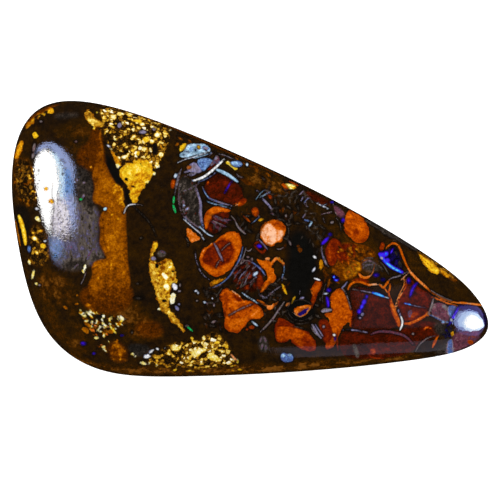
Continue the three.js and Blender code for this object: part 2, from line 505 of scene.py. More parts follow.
def gold_lens():
    """The gold lens under the fan, with dark pits and pale chunks."""
    lens = (
        "153,243 156,241.5 158.5,244 157,249 153,253 154,259 157,263 161,262 164,258.5 169,259 173,263 "
        "176,270 176,277 178.5,281 176,284 172,284 171,289 169,293 170,300 168,306 172,311 176,315 "
        "180,322 185,330 183,332.5 178,325 173,323 168,315 163,312 160,306 156,296 154,288 151,280 "
        "149,270 149.5,260 151,250"
    )
    patch("limonite", 0.5, lens, core=0.58, fade=3)
    patch("sand", 0.26, lens, fade=1)
    patch("limonite", 0.74, "153,244 156,242.5 158,245 156,249 153,251")
    speckle("limonite", (0.08, 0.3), "152,262 170,260 175,276 168,304 158,298", 34, 1.5, 0.9)
    speckle("limonite", (0.68, 0.88), "151,264 172,262 174,278 166,304 156,290", 14, 1.7, 0.9)
    grains("hole", 0.05, "157,266,1.8,2.2 160,264,1.6,1.2 173,271,1.4,1.3 164,300.5,2.2,1.9 "
           "166.5,296.5,1.2,1.2 162,287.5,1.2,0.8 168,307,1.6,1 161,278,1.4,0.8 171,277,1.2,1 "
           "159,271,1.6,1")
    patch("limonite", 1.0, "161,274 163,272 166,274 168.5,277 167,280 163.5,278", rounds=1)
    patch("limonite", 0.95, "162.5,286 166,283 169,284 170,288 168,291 165,289", rounds=1)
    patch("chalcedony", 0.92, "171.5,284 174,282.5 178,286.5 176.5,290 173,289", rounds=1)
    patch("limonite", 1.0, "171,294 173,292.5 176,294.5 174.5,300.5 172,304 169.5,302.5 170,298")
    grains("limonite", 0.95, "170.5,267,2.4,1.3 171,263,1,2,-20 159,308.7,1.5,1 160,298.5,1.5,1")
    grains("chalcedony", 0.5, "177,308,1.6,2.6,-35 153.5,258.5,2,1.6 179,304,1,0.8")
    patch("chalcedony", 0.1, "157,252 163,250 167,254 163,257 158,257", soft=2)
    grains("chalcedony", 0.38, "163,252,2.6,0.8,20 180,285,0.8,1.4 179.5,291,1.4,0.8,-20 "
           "187,325.5,1.5,0.9")
    vein("opal", 1.0, 2.4, "187.5,326.5 190,328.5 192.5,331")
    grains("chalcedony", 0.85, "196,290.7,1.2,0.8 198.3,292.8,0.8,1 212.5,298,0.8,0.9 "
           "204.5,302,1.1,0.8,40")
    grains("chalcedony", 0.38, "214,305,0.9,1.3 213.5,321.5,2.2,1,-15 197,300.5,0.9,0.7 207,303,0.8")
    grains("chalcedony", 0.1, "137.5,283.5,1.2,0.8 141,238,1.1,0.9 138,298,2.2,0.8 132,332,0.8,1")


def lower_left():
    """The brown lower edge, lightened as painted rim light, the cluster of pale grains and the heap of
    golden sand, with painted glints on its brightest grains.
    """
    patch("ground", 0.74, "84,300 128,296 150,318 160,338 140,340 120,330 110,312 90,312", fade=8)
    patch("ground", 0.72, "44,306 60,304 78,304 76,318 88,356 66,346 48,322", fade=9)
    patch("ground", 0.45, "58,305 72,308 78,330 74,344 60,330", fade=6)
    # Painted rim light: a lighter brown band along the lower edge, over the brown ironstone
    vein("ground", 0.84, 9, "66,352 84,362 110,368 150,371 200,371 250,369 300,366 360,361 420,355",
         fade=4)
    patch("limonite", 0.14, "134,328 142,320 158,322 164,332 156,338 140,336", soft=7)
    patch("limonite", 0.16, "108,346 114,341 121,343 126,350 127,358 121,362 112,359 109,352",
          core=0.22, soft=6)
    speckle("limonite", (0.3, 0.5), "108,346 116,340 126,350 126,360 114,360", 22, 2, 1.1)
    grain("limonite", 0.72, 120.5, 359, 1.2, 1)
    patch("hole", 0.0, "94,312 101,312 107,317 103,320 96,317", soft=2)
    cluster = "80,309 92,308 108,314 124,316 122,324 112,332 106,352 99,352 97,338 86,326"
    speckle("limonite", (0.2, 0.5), cluster, 30, 1.9, 0.8, 40, 35)
    speckle("limonite", (0.92, 1.0), cluster, 34, 1.4, 0.7, 40, 35)
    speckle("jasper", (0.74, 0.9), cluster, 10, 1.4, 0.7, 40, 35)
    grains("limonite", 0.95, "82.5,314.5,2.4,0.8,35 87,320.7,1.8,0.9 92,321.5,1.5,1.1,30 "
           "96,323,1.8,0.8,20 99,328.5,3,0.8,-40 105,325,2.4,1.2,45 104,334.5,1,1.8 96,337.5,1.4,1 "
           "104,346,1,0.8")
    grains("limonite", 0.97, "103.5,315.5,1.7,1.7 89.5,314,3.2,0.9,42 122,318,2.4,1.8")
    grains("limonite", 0.84, "110.5,318.5,1.6,2.8,20 114,330.5,3,1.1,45 111,327,1.8,0.9,60 "
           "121,321,1.2,1.2")
    grains("limonite", 0.45, "85,330,4,2.2,20 88,305,2.6,1.6 111,331,2.4,1.4 65,307,3,0.9,35 "
           "77,303.5,1.5,0.9 77,295,1,0.9")
    for x, y, size in ((83, 343, 2.7), (94, 353, 1.9)):
        grain("opal", 0.16, x, y, size, size * 0.7, core=0.42)
    grain("opal", 0.16, 122, 335, 1.8, 1)
    patch("chalcedony", 0.0, "127,344 140,343 152,347 146,353 138,357 131,353", soft=3)
    grains("chalcedony", 0.97, "147,356,3,2,-15 151,351,2.6,1.1,-35 157.5,348.5,1.4,0.9,30 "
           "165,348.5,1.3,0.9,-30")
    heap = (
        "148,357 160,350 173,342 188,339 200,341 208,333 215,332 223,337 230,346 238,361 226,367 196,368 "
        "166,366 148,363"
    )
    patch("limonite", 0.1, heap, soft=2.5)
    patch("sand", 1.0, heap)
    patch("sand", 0.5, "148,356 160,350 172,346 178,366 150,366", fade=5)
    # Bright specks of the heap: golden grains with painted glints on them
    speckle("limonite", (0.84, 1.0), heap, 34, 1.7, 0.8)
    patch("limonite", 0.9, "172,346 175,343 178,347 182,343 181,349 177,351 172,350", rounds=1)
    patch("limonite", 0.91, "190,352 194,350 199,348 206,347 207,350 201,353 199,356 194,356", rounds=1)
    patch("limonite", 0.89, "206,355 210,351 214,353 220,358 222,361 216,361 209,359", rounds=1)
    grains("limonite", 0.78, "217,342,3,1.7 226.5,346,1.8,2.8,-25 192,338,1.5,1,40 190,357.5,1.5,2")
    # The palest grains: golden grains with painted glints on them
    grains("limonite", 0.94, "204,338,1.8,2.4,10 214.5,348.5,2.8,1.1,-10 221,350.5,3.4,1,20 "
           "169,353.5,2.2,1.2,20 144,363,3,1.1,15 208,366,3,0.8,-15 133,353.5,1.4,1.2 "
           "135.5,355.5,1.2,0.9,-40")
    speckle("limonite", (0.4, 0.8), "150,366 240,365 250,369 200,372 160,370", 20, 1.5, 0.7, 0, 30)
    vein("jasper", 0.9, 2.8, "231,354 233.5,357 236.5,360")


def murk():
    """Faint flecks in the dark ground between the nodules."""
    for area in (
        "236,206 262,206 292,214 290,250 262,256 244,252",
        "256,284 290,276 290,316 262,330 258,312",
        "204,286 224,282 222,330 204,330",
        "262,178 300,196 300,226 270,216",
    ):
        speckle("chalcedony", (0.0, 0.14), area, 26, 2, 0.7)
        speckle("limonite", (0.0, 0.16), area, 16, 2, 0.8)


def blue_patches():
    """The pale blue patches near the upper edge and the pale lines under them, the brightest a crack painted
    white as a glint.
    """
    patch("chalcedony", 0.76, "181,158 180,154 185,151 187,145 192,144 197,145 203,144 208,147 211,150 "
          "206,153 200,153 193,156 187,158", rounds=1)
    patch("limonite", 0.7, "178.5,152.5 180,147 183,144 187,144 186,148.5 183,151.5", core=0.78, fade=2)
    patch("limonite", 0.6, "195.5,147 198,144.5 201.5,147 200,150.5 197,150", core=0.74, fade=2)
    grains("opal", 0.06, "186.5,152.2,2.2,0.9,10 195.6,150.6,0.9,1.3 184,155,1.2,0.7")
    grain("chalcedony", 0.42, 205.5, 148.6, 3, 1.8, 20)
    grain("chalcedony", 0.68, 191, 150, 2.6, 3, 20)
    vein("chalcedony", 0.86, 1.6, "177,163.5 183,160.5 189,158.5 195,157.5 199,155 205,154 210.5,151")
    vein("chalcedony", 0.7, 1.4, "194,159 200,157 206,155.5 211,153")
    vein("chalcedony", 0.38, 1.2, "209,156.5 212,153.5 215.5,151")
    patch("chalcedony", 0.5, "187,168 190,164 195,162 199,167 203,173 196,173 188,172", core=0.44)
    patch("chalcedony", 0.63, "196,161 204,158 213,160 210,165 204,172 200,169", core=0.61, rounds=1)
    grain("jasper", 0.82, 189.3, 168, 2.8, 2.3, -20)
    patch("chalcedony", 0.27, "208,168 211,164 215,160 216,155 219,158 220,163 214,167")
    patch("jasper", 0.28, "206,171 210,166 214,164 218,162 214,168 209,171")
    grains("chalcedony", 0.5, "216,158.5,1.1,2.4,20 212,165,1.4,0.7,-40 187,172,2.6,0.8,-15 "
           "193,175,2.4,0.7,-20")
    vein("chalcedony", 0.4, 1.3, "184,177 190,174 197,173")
    # Painted glint: a white line where light catches a crack
    vein("chalcedony", 1, 2.9, "191,181.5 199,179.5 205,176.5 211,172 217,166.5 224.5,159.5", taper=0.5)
    vein("chalcedony", 0.55, 1.2, "198,182.5 204,180.5 210,177 216,172.5")
    patch("chalcedony", 0.6, "230,162 237,161 244,164 240,167 235,167 231,165", core=0.7, fade=2)
    patch("limonite", 0.86, "226,162 229,161 231,164 234,168 238,169 234,170 230,166")
    grain("chalcedony", 0.8, 247, 165, 1.1, 1.3)
    vein("chalcedony", 0.42, 1.4, "217,154 223,155 230,158 236,160.5")
    vein("chalcedony", 0.75, 3.8, "216.5,170 221,171.5 226,174 231,177 237.5,182", taper=0.5)
    vein("chalcedony", 0.4, 2, "236,174 239,177 243,178")
    patch("limonite", 0.14, "238,176 246,180 256,184 252,186 244,184", soft=2)


def left_arcs():
    """The hatched grey arcs on the left of the nodules, with a green flash."""
    hatch = "181,174 194,182 197,192 199,204 199,214 201,228 193,225 185,216 179,204 178,190"
    patch("chalcedony", 0.0, hatch, soft=2)
    speckle("chalcedony", (0.08, 0.17), hatch, 46, 3, 0.5, 105, 25)
    speckle("jasper", (0.15, 0.4), hatch, 10, 1.6, 0.8, 100, 40)
    vein("chalcedony", 0.42, 1.5, "182,167 179.5,175 178,183 175.5,190 174.5,196")
    vein("chalcedony", 0.38, 1.3, "179.5,172 177,181 175,188")
    vein("chalcedony", 0.38, 1.4, "180,186 178,196 179,206 182,214 187,221")
    vein("chalcedony", 0.38, 1.3, "183.5,200 182.5,208 185,216 189,221")
    grains("chalcedony", 0.8, "175.5,176,1.3,2.2,25 187,209,2,0.8,-40 184,206,0.8,1.4")
    vein("chalcedony", 0.38, 1.4, "183,191.5 189,189.5 194,187 199.5,183.5")
    patch("jasper", 0.5, "171.5,181 174,178.5 176,181 175,187 172.5,189.5 170.5,186",
          core=0.64, fade=2, soft=1.5)
    vein("opal", 0.97, 2.8, "174,197 173.5,203", taper=0.3)
    vein("opal", 0.97, 2.8, "173,205 174,208 175.5,212.5", taper=0.3)
    vein("chalcedony", 0.5, 3, "196.5,188.5 198.5,196 201,204 200.5,213 201.5,221 203.5,228")
    vein("chalcedony", 0.64, 1.3, "199.5,206 199,213 200,220 202,226")
    vein("chalcedony", 0.92, 2, "183.5,219 188,223 193,227 197,230.5 202,235")
    vein("chalcedony", 0.5, 1.3, "184,216.5 189,220.5 194,224.5 199,228")
    vein("chalcedony", 0.82, 2, "199,226 204,231 208,234.5 213,236.5")
    vein("chalcedony", 0.86, 1.6, "201.5,236 204.5,240.5")
    patch("jasper", 0.76, "186,228 190,229 195,234 200,238 200,240 194,242 191,244 188,237",
          core=0.8, fade=2.4, rounds=1)
    vein("chalcedony", 0.12, 1.6, "186,238 188,241 188,246")


def red_nodules():
    """The dark red cell, the half ring under it and the large nodule with an orange rim."""
    patch("jasper", 0.12, "204,188 206,183 210,178 216,174 223,175 230,178 237,183 242,190 244,197 "
          "240,203 232,205 222,203 212,200 207,197 204,192", core=0.16)
    patch("jasper", 0.22, "214,180 222,178 230,182 234,190 228,197 218,196 212,189", soft=3)
    vein("opal", 0.2, 2.6, "232.5,181 229.5,184.5 227,189 224.5,193.5", core=0.34, fade=1)
    patch("jasper", 0.42, "237,204 241,199 246,198.5 247,202 243,205.5 238,207", soft=1.5)
    vein("chalcedony", 0.46, 2.2, "202.5,187 205,193 208.5,198.5 215,201 224,204 232,206")
    vein("chalcedony", 0.8, 1.3, "203.5,189.5 206.5,196 210,199.5 217,201.5")
    vein("chalcedony", 0.7, 1.7, "206.5,201.5 213,204 221,206 230.5,208.5")
    vein("jasper", 0.86, 2, "231,207 236,205.5 240,203")
    grain("jasper", 0.8, 208, 183, 0.8, 1.7, 25)
    patch("jasper", 0.6, "204,229 204,219 207,211 212,207 219,206 227,208 231,211 228,213 222,212 "
          "216,214 212,217 210,222 208,229", core=0.66, fade=2)
    patch("jasper", 0.2, "207,229 210,222 212,217 216,214 222,212 229,213 228,221 223,228 215,234 209,232")
    speckle("chalcedony", (0.25, 0.31), "211,222 217,215 227,214 228,220 222,228 214,233",
            13, 2.8, 0.7, 25, 25)
    grains("chalcedony", 0.1, "219,218,3,0.6,20 223,220,2.6,0.5,25 214,227,0.6,2.4 220,229,0.6,2,20")
    vein("chalcedony", 0.42, 1.7, "213.5,221 218,223.5 222.5,225")
    patch("jasper", 0.6, "199,257 202,250 208,246 212,243 219,238 225,233 231,231 237,232 241,239 "
          "242,248 239,256 235,263 231,269 224,274 216,277 209,274 204,269 200,263", core=0.68, fade=4)
    patch("jasper", 0.5, "202,257 206,250 213,244 219,239 227,238 233,243 236,250 234,258 229,263 "
          "222,268 216,269 209,267 204,264", soft=2.5)
    patch("jasper", 0.28, "203,256 207,250 213,245 220,240 226,240 231,244 234,250 232,256 229,261 "
          "222,265 216,267 210,265 205,264 202,260", core=0.4, fade=3)
    patch("jasper", 0.32, "206,256 210,251 215,252 216,260 211,263 207,261", soft=3)
    vein("chalcedony", 0.47, 2.6, "214,242.5 217,248.5 220,255 223,261")
    vein("chalcedony", 0.38, 1.3, "230,243 225.5,246.5 221.5,250.5")
    vein("chalcedony", 0.38, 1.3, "216,267 218,263 220,260")
    vein("jasper", 0.9, 1.2, "199.5,258 203,250.5 209,246 213,242")
    patch("limonite", 0.46, "210,281 216,280 222,278 228,276 226,280 220,282 214,286 211,285",
          core=0.56, fade=2)
    vein("chalcedony", 0.58, 2, "243,247 241,256 237.5,263 233,271 228,278 221,283.5 213,287.5")
    vein("chalcedony", 0.38, 1.3, "246,248 243.5,257 240,264 236,270")
    vein("chalcedony", 0.46, 1.6, "195,251 196,260 199,269 204,276 210,280")
    vein("chalcedony", 0.12, 1.6, "222,288 219,292 216,297")


def peach_group():
    """The peach nodule and the small marks round it."""
    patch("jasper", 0.68, "262,226 266,222 272,220 280,220 284,224 286,231 284,236 281,242 276,243 "
          "271,247 266,244 261,238 260,233")
    patch("jasper", 0.93, "262,229 266,224 271,223 274,227 277,231 281,230 284,231 284,236 280,240 "
          "276,242 271,246 266,244 262,238 260,233", core=0.96, rounds=1)
    patch("jasper", 0.54, "270,222 279,221 284,224 286,229 281,229 278,230 274,226", rounds=1)
    speckle("jasper", (0.8, 0.9), "264,230 272,226 282,232 276,241 268,243", 9, 2, 0.8)
    vein("jasper", 0.7, 1.3, "277,231 277.5,236 276,242")
    vein("chalcedony", 0.12, 1.2, "277,219 283,219.5 287.5,224.5 289,231 288,238")
    patch("jasper", 0.46, "252,209 256,207 259,211 258,217 254,216.5 251.5,212",
          core=0.6, fade=2, soft=1.5)
    grain("limonite", 0.66, 261.2, 219.8, 2.6, 1.1, -20)
    vein("jasper", 0.62, 2.4, "243,216 246.5,218.5 250,222.5")
    vein("chalcedony", 0.6, 1.6, "251.5,224 255,221 259,217.5")
    vein("chalcedony", 0.4, 2.4, "235.5,222 238,227 241,230.5 245.5,234")
    vein("chalcedony", 0.38, 1.2, "231,216 234,219 236,222")
    patch("jasper", 0.42, "267.5,194.5 272,195.5 273.5,201 270,201")
    vein("chalcedony", 0.72, 1.5, "256,200 259,195.5 262,192.5 265.5,190")
    vein("chalcedony", 0.78, 1.6, "260,198 264,195.5 270.5,192")
    vein("chalcedony", 0.5, 2.6, "262,198.5 266.5,203 269.5,206 271.5,209.5")
    vein("chalcedony", 0.5, 1.6, "255.5,190 259,192")
    patch("jasper", 0.4, "254,243 258,240 264,244 267,250 262,254 256,250")
    patch("hole", 0.05, "256,244.5 259,242 264,246.5 265,250.5 261,251.5 257.5,248.5")
    grain("opal", 0.2, 259.4, 246.2, 2.6, 1.9, 20, core=0.4, fade=1)
    vein("chalcedony", 0.5, 1.8, "259,240 263,244 267.5,249.5")
    grains("limonite", 0.14, "283,210,1.2,2.6,10 280,211,0.8,1.6 284,247,1.2,3,35 300,250,2.6,3.4 "
           "298,246,1.6,1.2")
    grain("chalcedony", 0.38, 290, 243, 0.9, 2, -20)
    vein("chalcedony", 0.38, 1.6, "277,249 280,249.5 284,247")
    vein("chalcedony", 0.38, 1.6, "246,250 249,251.5 252,248.5")
    grains("chalcedony", 0.38, "248,257,1.2,0.8 252,259,0.9,1.2 244,260,1,0.7 286,216,0.8,1.4 "
           "272,214,1.2,0.6")


def orange_group():
    """The streaked drum, the orange hook and the large orange nodule."""
    drum = "234,268 244,260 256,263 264,273 261,288 250,293 238,288 232,278"
    patch("jasper", 0.03, drum, soft=3)
    speckle("jasper", (0.3, 0.58), drum, 13, 2.4, 0.9, -50, 25)
    speckle("chalcedony", (0.03, 0.16), drum, 26, 2.4, 0.6, -50, 30)
    patch("jasper", 0.42, "256,274 260,272 263,278 263,286 260,291 257,286", soft=2)
    patch("jasper", 0.66, "256,258 262,260 268,262 272,262 273,268 275,273 276,278 273,283 269,285 "
          "265,290 262,293 260,291 262,286 266,281 268,276 266,271 262,267 258,263", core=0.69, fade=2.5)
    vein("jasper", 0.78, 3.6, "271,264 274,260 277.5,257.5 280.5,260.5 284,263.5 283.5,266.5")
    vein("limonite", 0.8, 1.3, "276,257 279.5,259 283,262.5")
    grain("jasper", 0.9, 267.5, 258.5, 2.2, 1.2)
    grain("hole", 0.2, 272.5, 266.5, 1.8, 1.4)
    vein("chalcedony", 0.56, 2.3, "252,262 257,265.5 261.5,269.5 265,275")
    vein("chalcedony", 0.38, 1.5, "241,264 246,259.5 251,262")
    grain("chalcedony", 0.82, 255.6, 273.6, 2.6, 1.3, -35)
    for tone, points in (
        (0.5, "239,278.5 242,274 246,270.5"),
        (0.42, "244,284 247,278 250,272"),
        (0.38, "235,277 238,272 241,269"),
        (0.38, "250,283 253,279 257,277"),
        (0.14, "240,287 243,281"),
        (0.38, "252,269 255,267"),
        (0.4, "247,268 250,265.5"),
    ):
        vein("chalcedony", tone, 1.6, points)
    grains("jasper", 0.42, "247,287.5,3.2,2.4,35 243.5,267,3.4,1.1,-32 236,272,2.6,1.1,-50 "
           "240,283,2,0.9,-40 251,276,0.9,2.6,20 254,284,1,2,10 248,262,2,0.8,20")
    vein("chalcedony", 0.66, 1.2, "284,265 284.5,270 282.5,276 282,281")
    vein("limonite", 0.68, 3, "282,284 283.5,287 284.5,290 286.5,294", core=0.7, fade=1)
    vein("jasper", 0.72, 3.4, "257.5,300 262,302 266,305.5 270,309 274,305.5 278,301.5")
    patch("jasper", 0.78, "264,304 270,304.5 275,303 274,306 270,309.5 266,307.5", rounds=1)
    vein("chalcedony", 0.44, 1.6, "263,298.5 268,296 273,291 281,286")
    vein("chalcedony", 0.5, 1.4, "259,294.5 263,296.5 267,297.5")
    vein("chalcedony", 0.12, 1.3, "270,283 275,286 279,284")
    patch("jasper", 0.56, "220,297 221,292 226,288 230,290 240,298 250,301 256,304 263,310 264,316 "
          "258,320 252,318 248,322 244,327 239,332 233,332 227,330 224,324 225,315 224,309 222,303",
          core=0.6, fade=4, rounds=1)
    patch("jasper", 0.34, "231,292 237,296 243,300 240,302 235,299", soft=1.5)
    patch("jasper", 0.72, "250,311 257,307 261,311 261,316 255,318 250,315", soft=2)
    patch("jasper", 0.74, "228,322 236,318 244,318 244,324 238,330 230,328", soft=3)
    patch("jasper", 0.48, "222,294 227,292 229,302 227,310 224,304", soft=2)
    heart = "226,296 256,306 258,316 240,328 228,322"
    speckle("jasper", (0.42, 0.54), heart, 12, 3, 0.8, 30, 60)
    speckle("jasper", (0.68, 0.78), heart, 12, 2.6, 1, 30, 60)
    vein("jasper", 0.96, 2.1, "229.5,289 235,293 240.5,297")
    vein("chalcedony", 0.8, 1.8, "242,292.5 248,297 253,299.5 257.5,303")
    vein("chalcedony", 0.42, 1.5, "229,315 236,311 243,307.5 252,304")
    grain("chalcedony", 0.8, 254.8, 323.4, 3.2, 0.9, 38)
    grains("jasper", 0.5, "251.5,327,2.4,1.6 247,329,1.2,1")
    vein("chalcedony", 0.38, 2.4, "284.5,301.5 279,309 274,317 268,324 260.5,331.5")
    patch("chalcedony", 0.04, "260,337 264,336 268,341 269,350 262,352 258,344", soft=4)
    grains("chalcedony", 0.38, "261,339,0.8,2.6,15 265,339,0.8,2.6,-25 262,346,0.7,2.4,10 266,347,0.7,2")
    patch("chalcedony", 0.57, "280,354 284,352 287,354 290,353 294,356 293,360 288,362 282,361")
    grains("chalcedony", 0.76, "283.3,355,2,1.5 289.5,354.6,1.8,1.2")


def eye_group():
    """The orange eye in its dark ring and the nodule under it."""
    patch("ground", 0.0, "286,300 300,294 314,300 318,312 308,322 292,320 286,312", fade=3)
    for points in (
        "287,307 289,315 296,320.5 306,320 313,314",
        "290,303.5 297,299.5 306,300 313,305",
        "285,314 291,321.5 300,324 310,322",
    ):
        vein("chalcedony", 0.07, 1.4, points)
    patch("jasper", 0.68, "293,311 296,308 301,305 307,304 312,306 310,310 306,314 302,317 297,315",
          core=0.79, fade=2)
    patch("opal", 0.1, "297,314 302,311 308,307 309,309 305,313 301,316", core=0.18, fade=1)
    vein("jasper", 0.97, 1.7, "293,312 297.5,315.5 302,316.5 306.5,313 310.5,308")
    vein("limonite", 0.72, 2.4, "291.5,303.5 293,300 295,296.5")
    grain("jasper", 0.84, 288, 304.2, 3, 1.3, -48)
    patch("chalcedony", 0.5, "300,298 302,296.5 304.5,296.5 303.5,298.5 301,299")
    vein("chalcedony", 0.42, 1.4, "300.5,288.5 299.5,294")
    patch("jasper", 0.46, "310,288 314,284 316,280 320,280 322,284 320,290 316,294 315,300 313,306 "
          "312,309 311,303 313,297 313,292", core=0.58, fade=2.5)
    vein("jasper", 0.86, 1.3, "309,286.5 311.5,290.5 313.5,295.5")
    vein("chalcedony", 0.93, 2.3, "314,278 317,279 320,280")
    patch("jasper", 0.4, "276,322 279,317 285,319 292,324 300,328 307,331 312,336 316,342 316,350 "
          "308,351 300,348 294,344 290,338 287,341 280,342 276,340 275,330", core=0.58, fade=3)
    patch("jasper", 0.57, "276,330 284,328 294,328 298,333 292,335 288,340 280,340 277,338", soft=1.5)
    patch("jasper", 0.38, "277,322 280,318 286,320 292,325 284,325 278,326", soft=1.5)
    vein("jasper", 0.2, 1.8, "276.5,326 284,325 294,327")
    patch("jasper", 0.36, "304,334 310,337 314,344 312,350 305,349 301,342", soft=3)
    vein("chalcedony", 0.12, 1.4, "294,326 299,327 306,329")


def long_nodule():
    """The long orange nodule, with blue and grey marks beside it."""
    patch("jasper", 0.3, "318,322 322,318 328,320 332,330 334,338 330,345 324,342 321,333",
          core=0.4, soft=1.5)
    patch("jasper", 0.6, "330,297 334,291 339,288 343,289 347,297 351,307 353,312 352,318 352,326 "
          "350,327 349,321 345,324 341,329 338,336 336,342 333,347 328,348 325,345 330,341 333,335 "
          "331,326 327,318 324,313 329,312 333,313 331,308 330,302", core=0.62, fade=4)
    patch("jasper", 0.42, "324,346 327,341 332,340 334.5,344 331,348 327,349", core=0.5, fade=2)
    vein("jasper", 0.4, 2.4, "337.5,330 337,340 338,350")
    vein("chalcedony", 0.46, 2.8, "312,324 316,331 321,338")
    vein("chalcedony", 0.5, 1.8, "315,324 319,330 323,336")
    vein("chalcedony", 0.38, 1.6, "311,327 314,332 317,335")
    patch("chalcedony", 0.4, "320.5,310.5 325,308 331,308.5 332,310.5 327,311.5 322,312.5",
          core=0.5, fade=2, rounds=1)
    patch("opal", 0.1, "325,296 328,296 330,301 330,307 327,308 326,302", core=0.4, fade=1.8)
    grain("opal", 0.12, 328.6, 290, 2.6, 2.2, core=0.36)
    grain("chalcedony", 0.84, 326, 293.4, 1.9, 0.8, -10)
    patch("opal", 0.0, "330.5,276 334,273.5 338,275.5 340,279 337.5,282 333,280.5")
    vein("opal", 0.5, 2.6, "334,279 336,280.5 338.5,279.5", core=0.7, fade=1)
    grain("opal", 0.84, 334, 277, 0.9, 1.2)
    grain("chalcedony", 1, 334.3, 334.6, 1.5, 1.2, 35)
    grain("opal", 0.14, 335, 338.6, 1, 2.2)
    grain("chalcedony", 0.4, 323.6, 326.4, 1.3, 1.3)
    vein("chalcedony", 0.4, 1.7, "342,288 346,292.5 348.5,300 351,309")
    vein("chalcedony", 0.12, 1.4, "326,283 324,290 322,297 323,303")
    grains("chalcedony", 0.11, "317,305,1.6,0.8,20 318,316,2.4,0.8,30 311,318,1.8,0.8,-30 320,299,0.7,1.6")


def upper_right():
    """The dark hollow, the fine grey lines, the brown patches, the upper edge, and a grey band painted as a
    reflection along the upper right edge.
    """
    patch("ground", 0.0, "287,238 300,228 312,240 320,262 314,280 306,300 290,298 284,276 289,256", fade=5)
    patch("ground", 0.76, "236,166 262,172 288,184 294,194 272,194 250,186", fade=6)
    patch("ground", 0.5, "404,246 418,254 440,280 478,300 462,301 440,296 424,284 410,268", fade=4)
    patch("ground", 0.62, "318,222 340,222 346,236 372,240 384,262 376,282 340,284 322,280 318,246",
          fade=6)
    patch("limonite", 0.88, "284,185 288,184 293,184 297,187 293,190 288,188")
    patch("jasper", 0.6, "280.5,183.5 285,184.5 289,189.5 284.5,190", core=0.5)
    speckle("chalcedony", (0.04, 0.16), "292,190 310,192 326,202 332,214 318,226 306,216 298,204",
            22, 1.7, 0.5, 40, 80)
    speckle("chalcedony", (0.03, 0.13), "302,222 322,224 326,240 320,252 308,248 300,236",
            24, 1.9, 0.6, 60, 70)
    speckle("chalcedony", (0.03, 0.12), "266,182 292,194 300,212 292,226 278,216 268,206",
            12, 1.6, 0.5, 50, 80)
    for tone, width, points in (
        (0.5, 1.5, "299.5,195 303,191.5"),
        (0.5, 1.6, "301,201 303,197"),
        (0.6, 1.5, "304.5,203 306,200 309.5,198"),
        (0.4, 1.3, "304,202 305,205 308,207"),
        (0.9, 1.9, "316,203 320,205 328.5,209.3"),
        (0.8, 1.4, "325,205 328,203"),
        (0.38, 1.5, "321.5,214.5 326,213.5 331.5,212"),
        (0.4, 1.6, "323,218.3 325.5,223"),
        (0.5, 1.8, "302.5,218 305,214.5"),
        (0.6, 2.2, "304.5,220 309.5,221.3"),
        (0.8, 2, "309.3,226.3 312,222.3"),
        (0.38, 1.8, "333,204 335,208 335,212 338,216"),
        (0.14, 1.5, "306,224 307,229"),
        (0.14, 1.3, "336,218 340,222 341,230"),
    ):
        vein("chalcedony", tone, width, points, taper=0.4)
    grain("chalcedony", 0.4, 332, 222.5, 1.6, 1.1, -25)
    grain("chalcedony", 0.98, 314.7, 257, 1.6, 1, 38)
    grain("chalcedony", 0.86, 313.8, 269.5, 2.1, 1, -55)
    patch("chalcedony", 0.28, "332,204 344,211 345,219 338,217", soft=2)
    patch("jasper", 0.16, "306,190 324,199 332,203 328,206 318,203 306,196", soft=3)
    vein("jasper", 0.5, 2.4, "289,181.5 294,184 298,186")
    patch("jasper", 0.54, "345,215 349,210 354,212 361,216 366,221 368,227 370,233 368,238 363,242 "
          "358,244 352,240 347,235 344,228 344,221", core=0.6, fade=4)
    patch("jasper", 0.63, "354,214 362,219 366,227 362,233 356,224", soft=2.5)
    patch("jasper", 0.46, "352,231 356,229 360,233 357,238 353,236", soft=2)
    patch("limonite", 0.18, "334,246 345,242 356,243 368,246 377,254 372,259 363,262 363,268 357,276 "
          "349,280 342,281 335,276 331,269 334,258", core=0.24, fade=5, soft=2)
    patch("jasper", 0.34, "327,246 330,240 335,238 339,241 342,247 339,254 336,263 332,267 328,264 "
          "326,257 325,250", core=0.37, fade=3)
    vein("jasper", 0.6, 1.5, "330,244 329,252 331,261")
    patch("jasper", 0.26, "336,246 346,243 358,245 356,254 346,262 337,262", soft=3)
    patch("limonite", 0.47, "342,272 349,265 357,261 362,264 361,271 353,277 346,279", soft=2)
    brown = "337,248 352,244 368,246 374,254 362,262 360,274 346,279 336,270"
    speckle("hole", (0.2, 0.5), "337,248 352,244 368,246 374,254 362,262 346,262", 26, 2.2, 0.9, 45, 45)
    speckle("limonite", (0.3, 0.5), brown, 22, 2.2, 0.9, 45, 45)
    speckle("jasper", (0.4, 0.72), "337,253 352,250 358,262 350,276 342,270", 14, 2.4, 0.8, 60, 45)
    speckle("limonite", (0.1, 0.4), "322,266 334,268 342,282 334,290 322,284", 14, 2, 0.7, 70, 60)
    vein("chalcedony", 0.5, 1.5, "322,246 322,255 326,265")
    vein("chalcedony", 0.38, 1.4, "324,256 325.5,261 328.5,267")
    patch("limonite", 0.56, "318.5,263 321,258.5 323,264 321.5,270 319.5,270")
    vein("opal", 0.16, 4.4, "321.5,244.5 325,241 328.5,237.5", core=0.42, fade=1.6)
    grain("opal", 0.1, 330, 234.5, 2.1, 1.8, core=0.28)
    grain("opal", 0.1, 343, 220.3, 2.1, 2.8, core=0.34)
    grain("opal", 0.2, 332, 202.3, 1.9, 1.2, core=0.36)
    # Painted reflection: a grey band of light along the upper right edge, with dark specks in it
    vein("chalcedony", 0.05, 4, "366,220.5 380,228.5 392,235.5 404,242.5 418,251", taper=0.3)
    speckle("chalcedony", (0.06, 0.14), "372,226 392,237 412,250 402,246 386,236", 8, 2.2, 0.7, 30, 12)
    vein("limonite", 0.14, 2.4, "100,105 130,112 160,123 190,135.5 220,149 250,162 280,176", taper=0.4)
    speckle("limonite", (0.1, 0.4), "180,136 240,160 300,188 300,192 240,166 180,141",
            22, 2.2, 0.8, 26, 20)


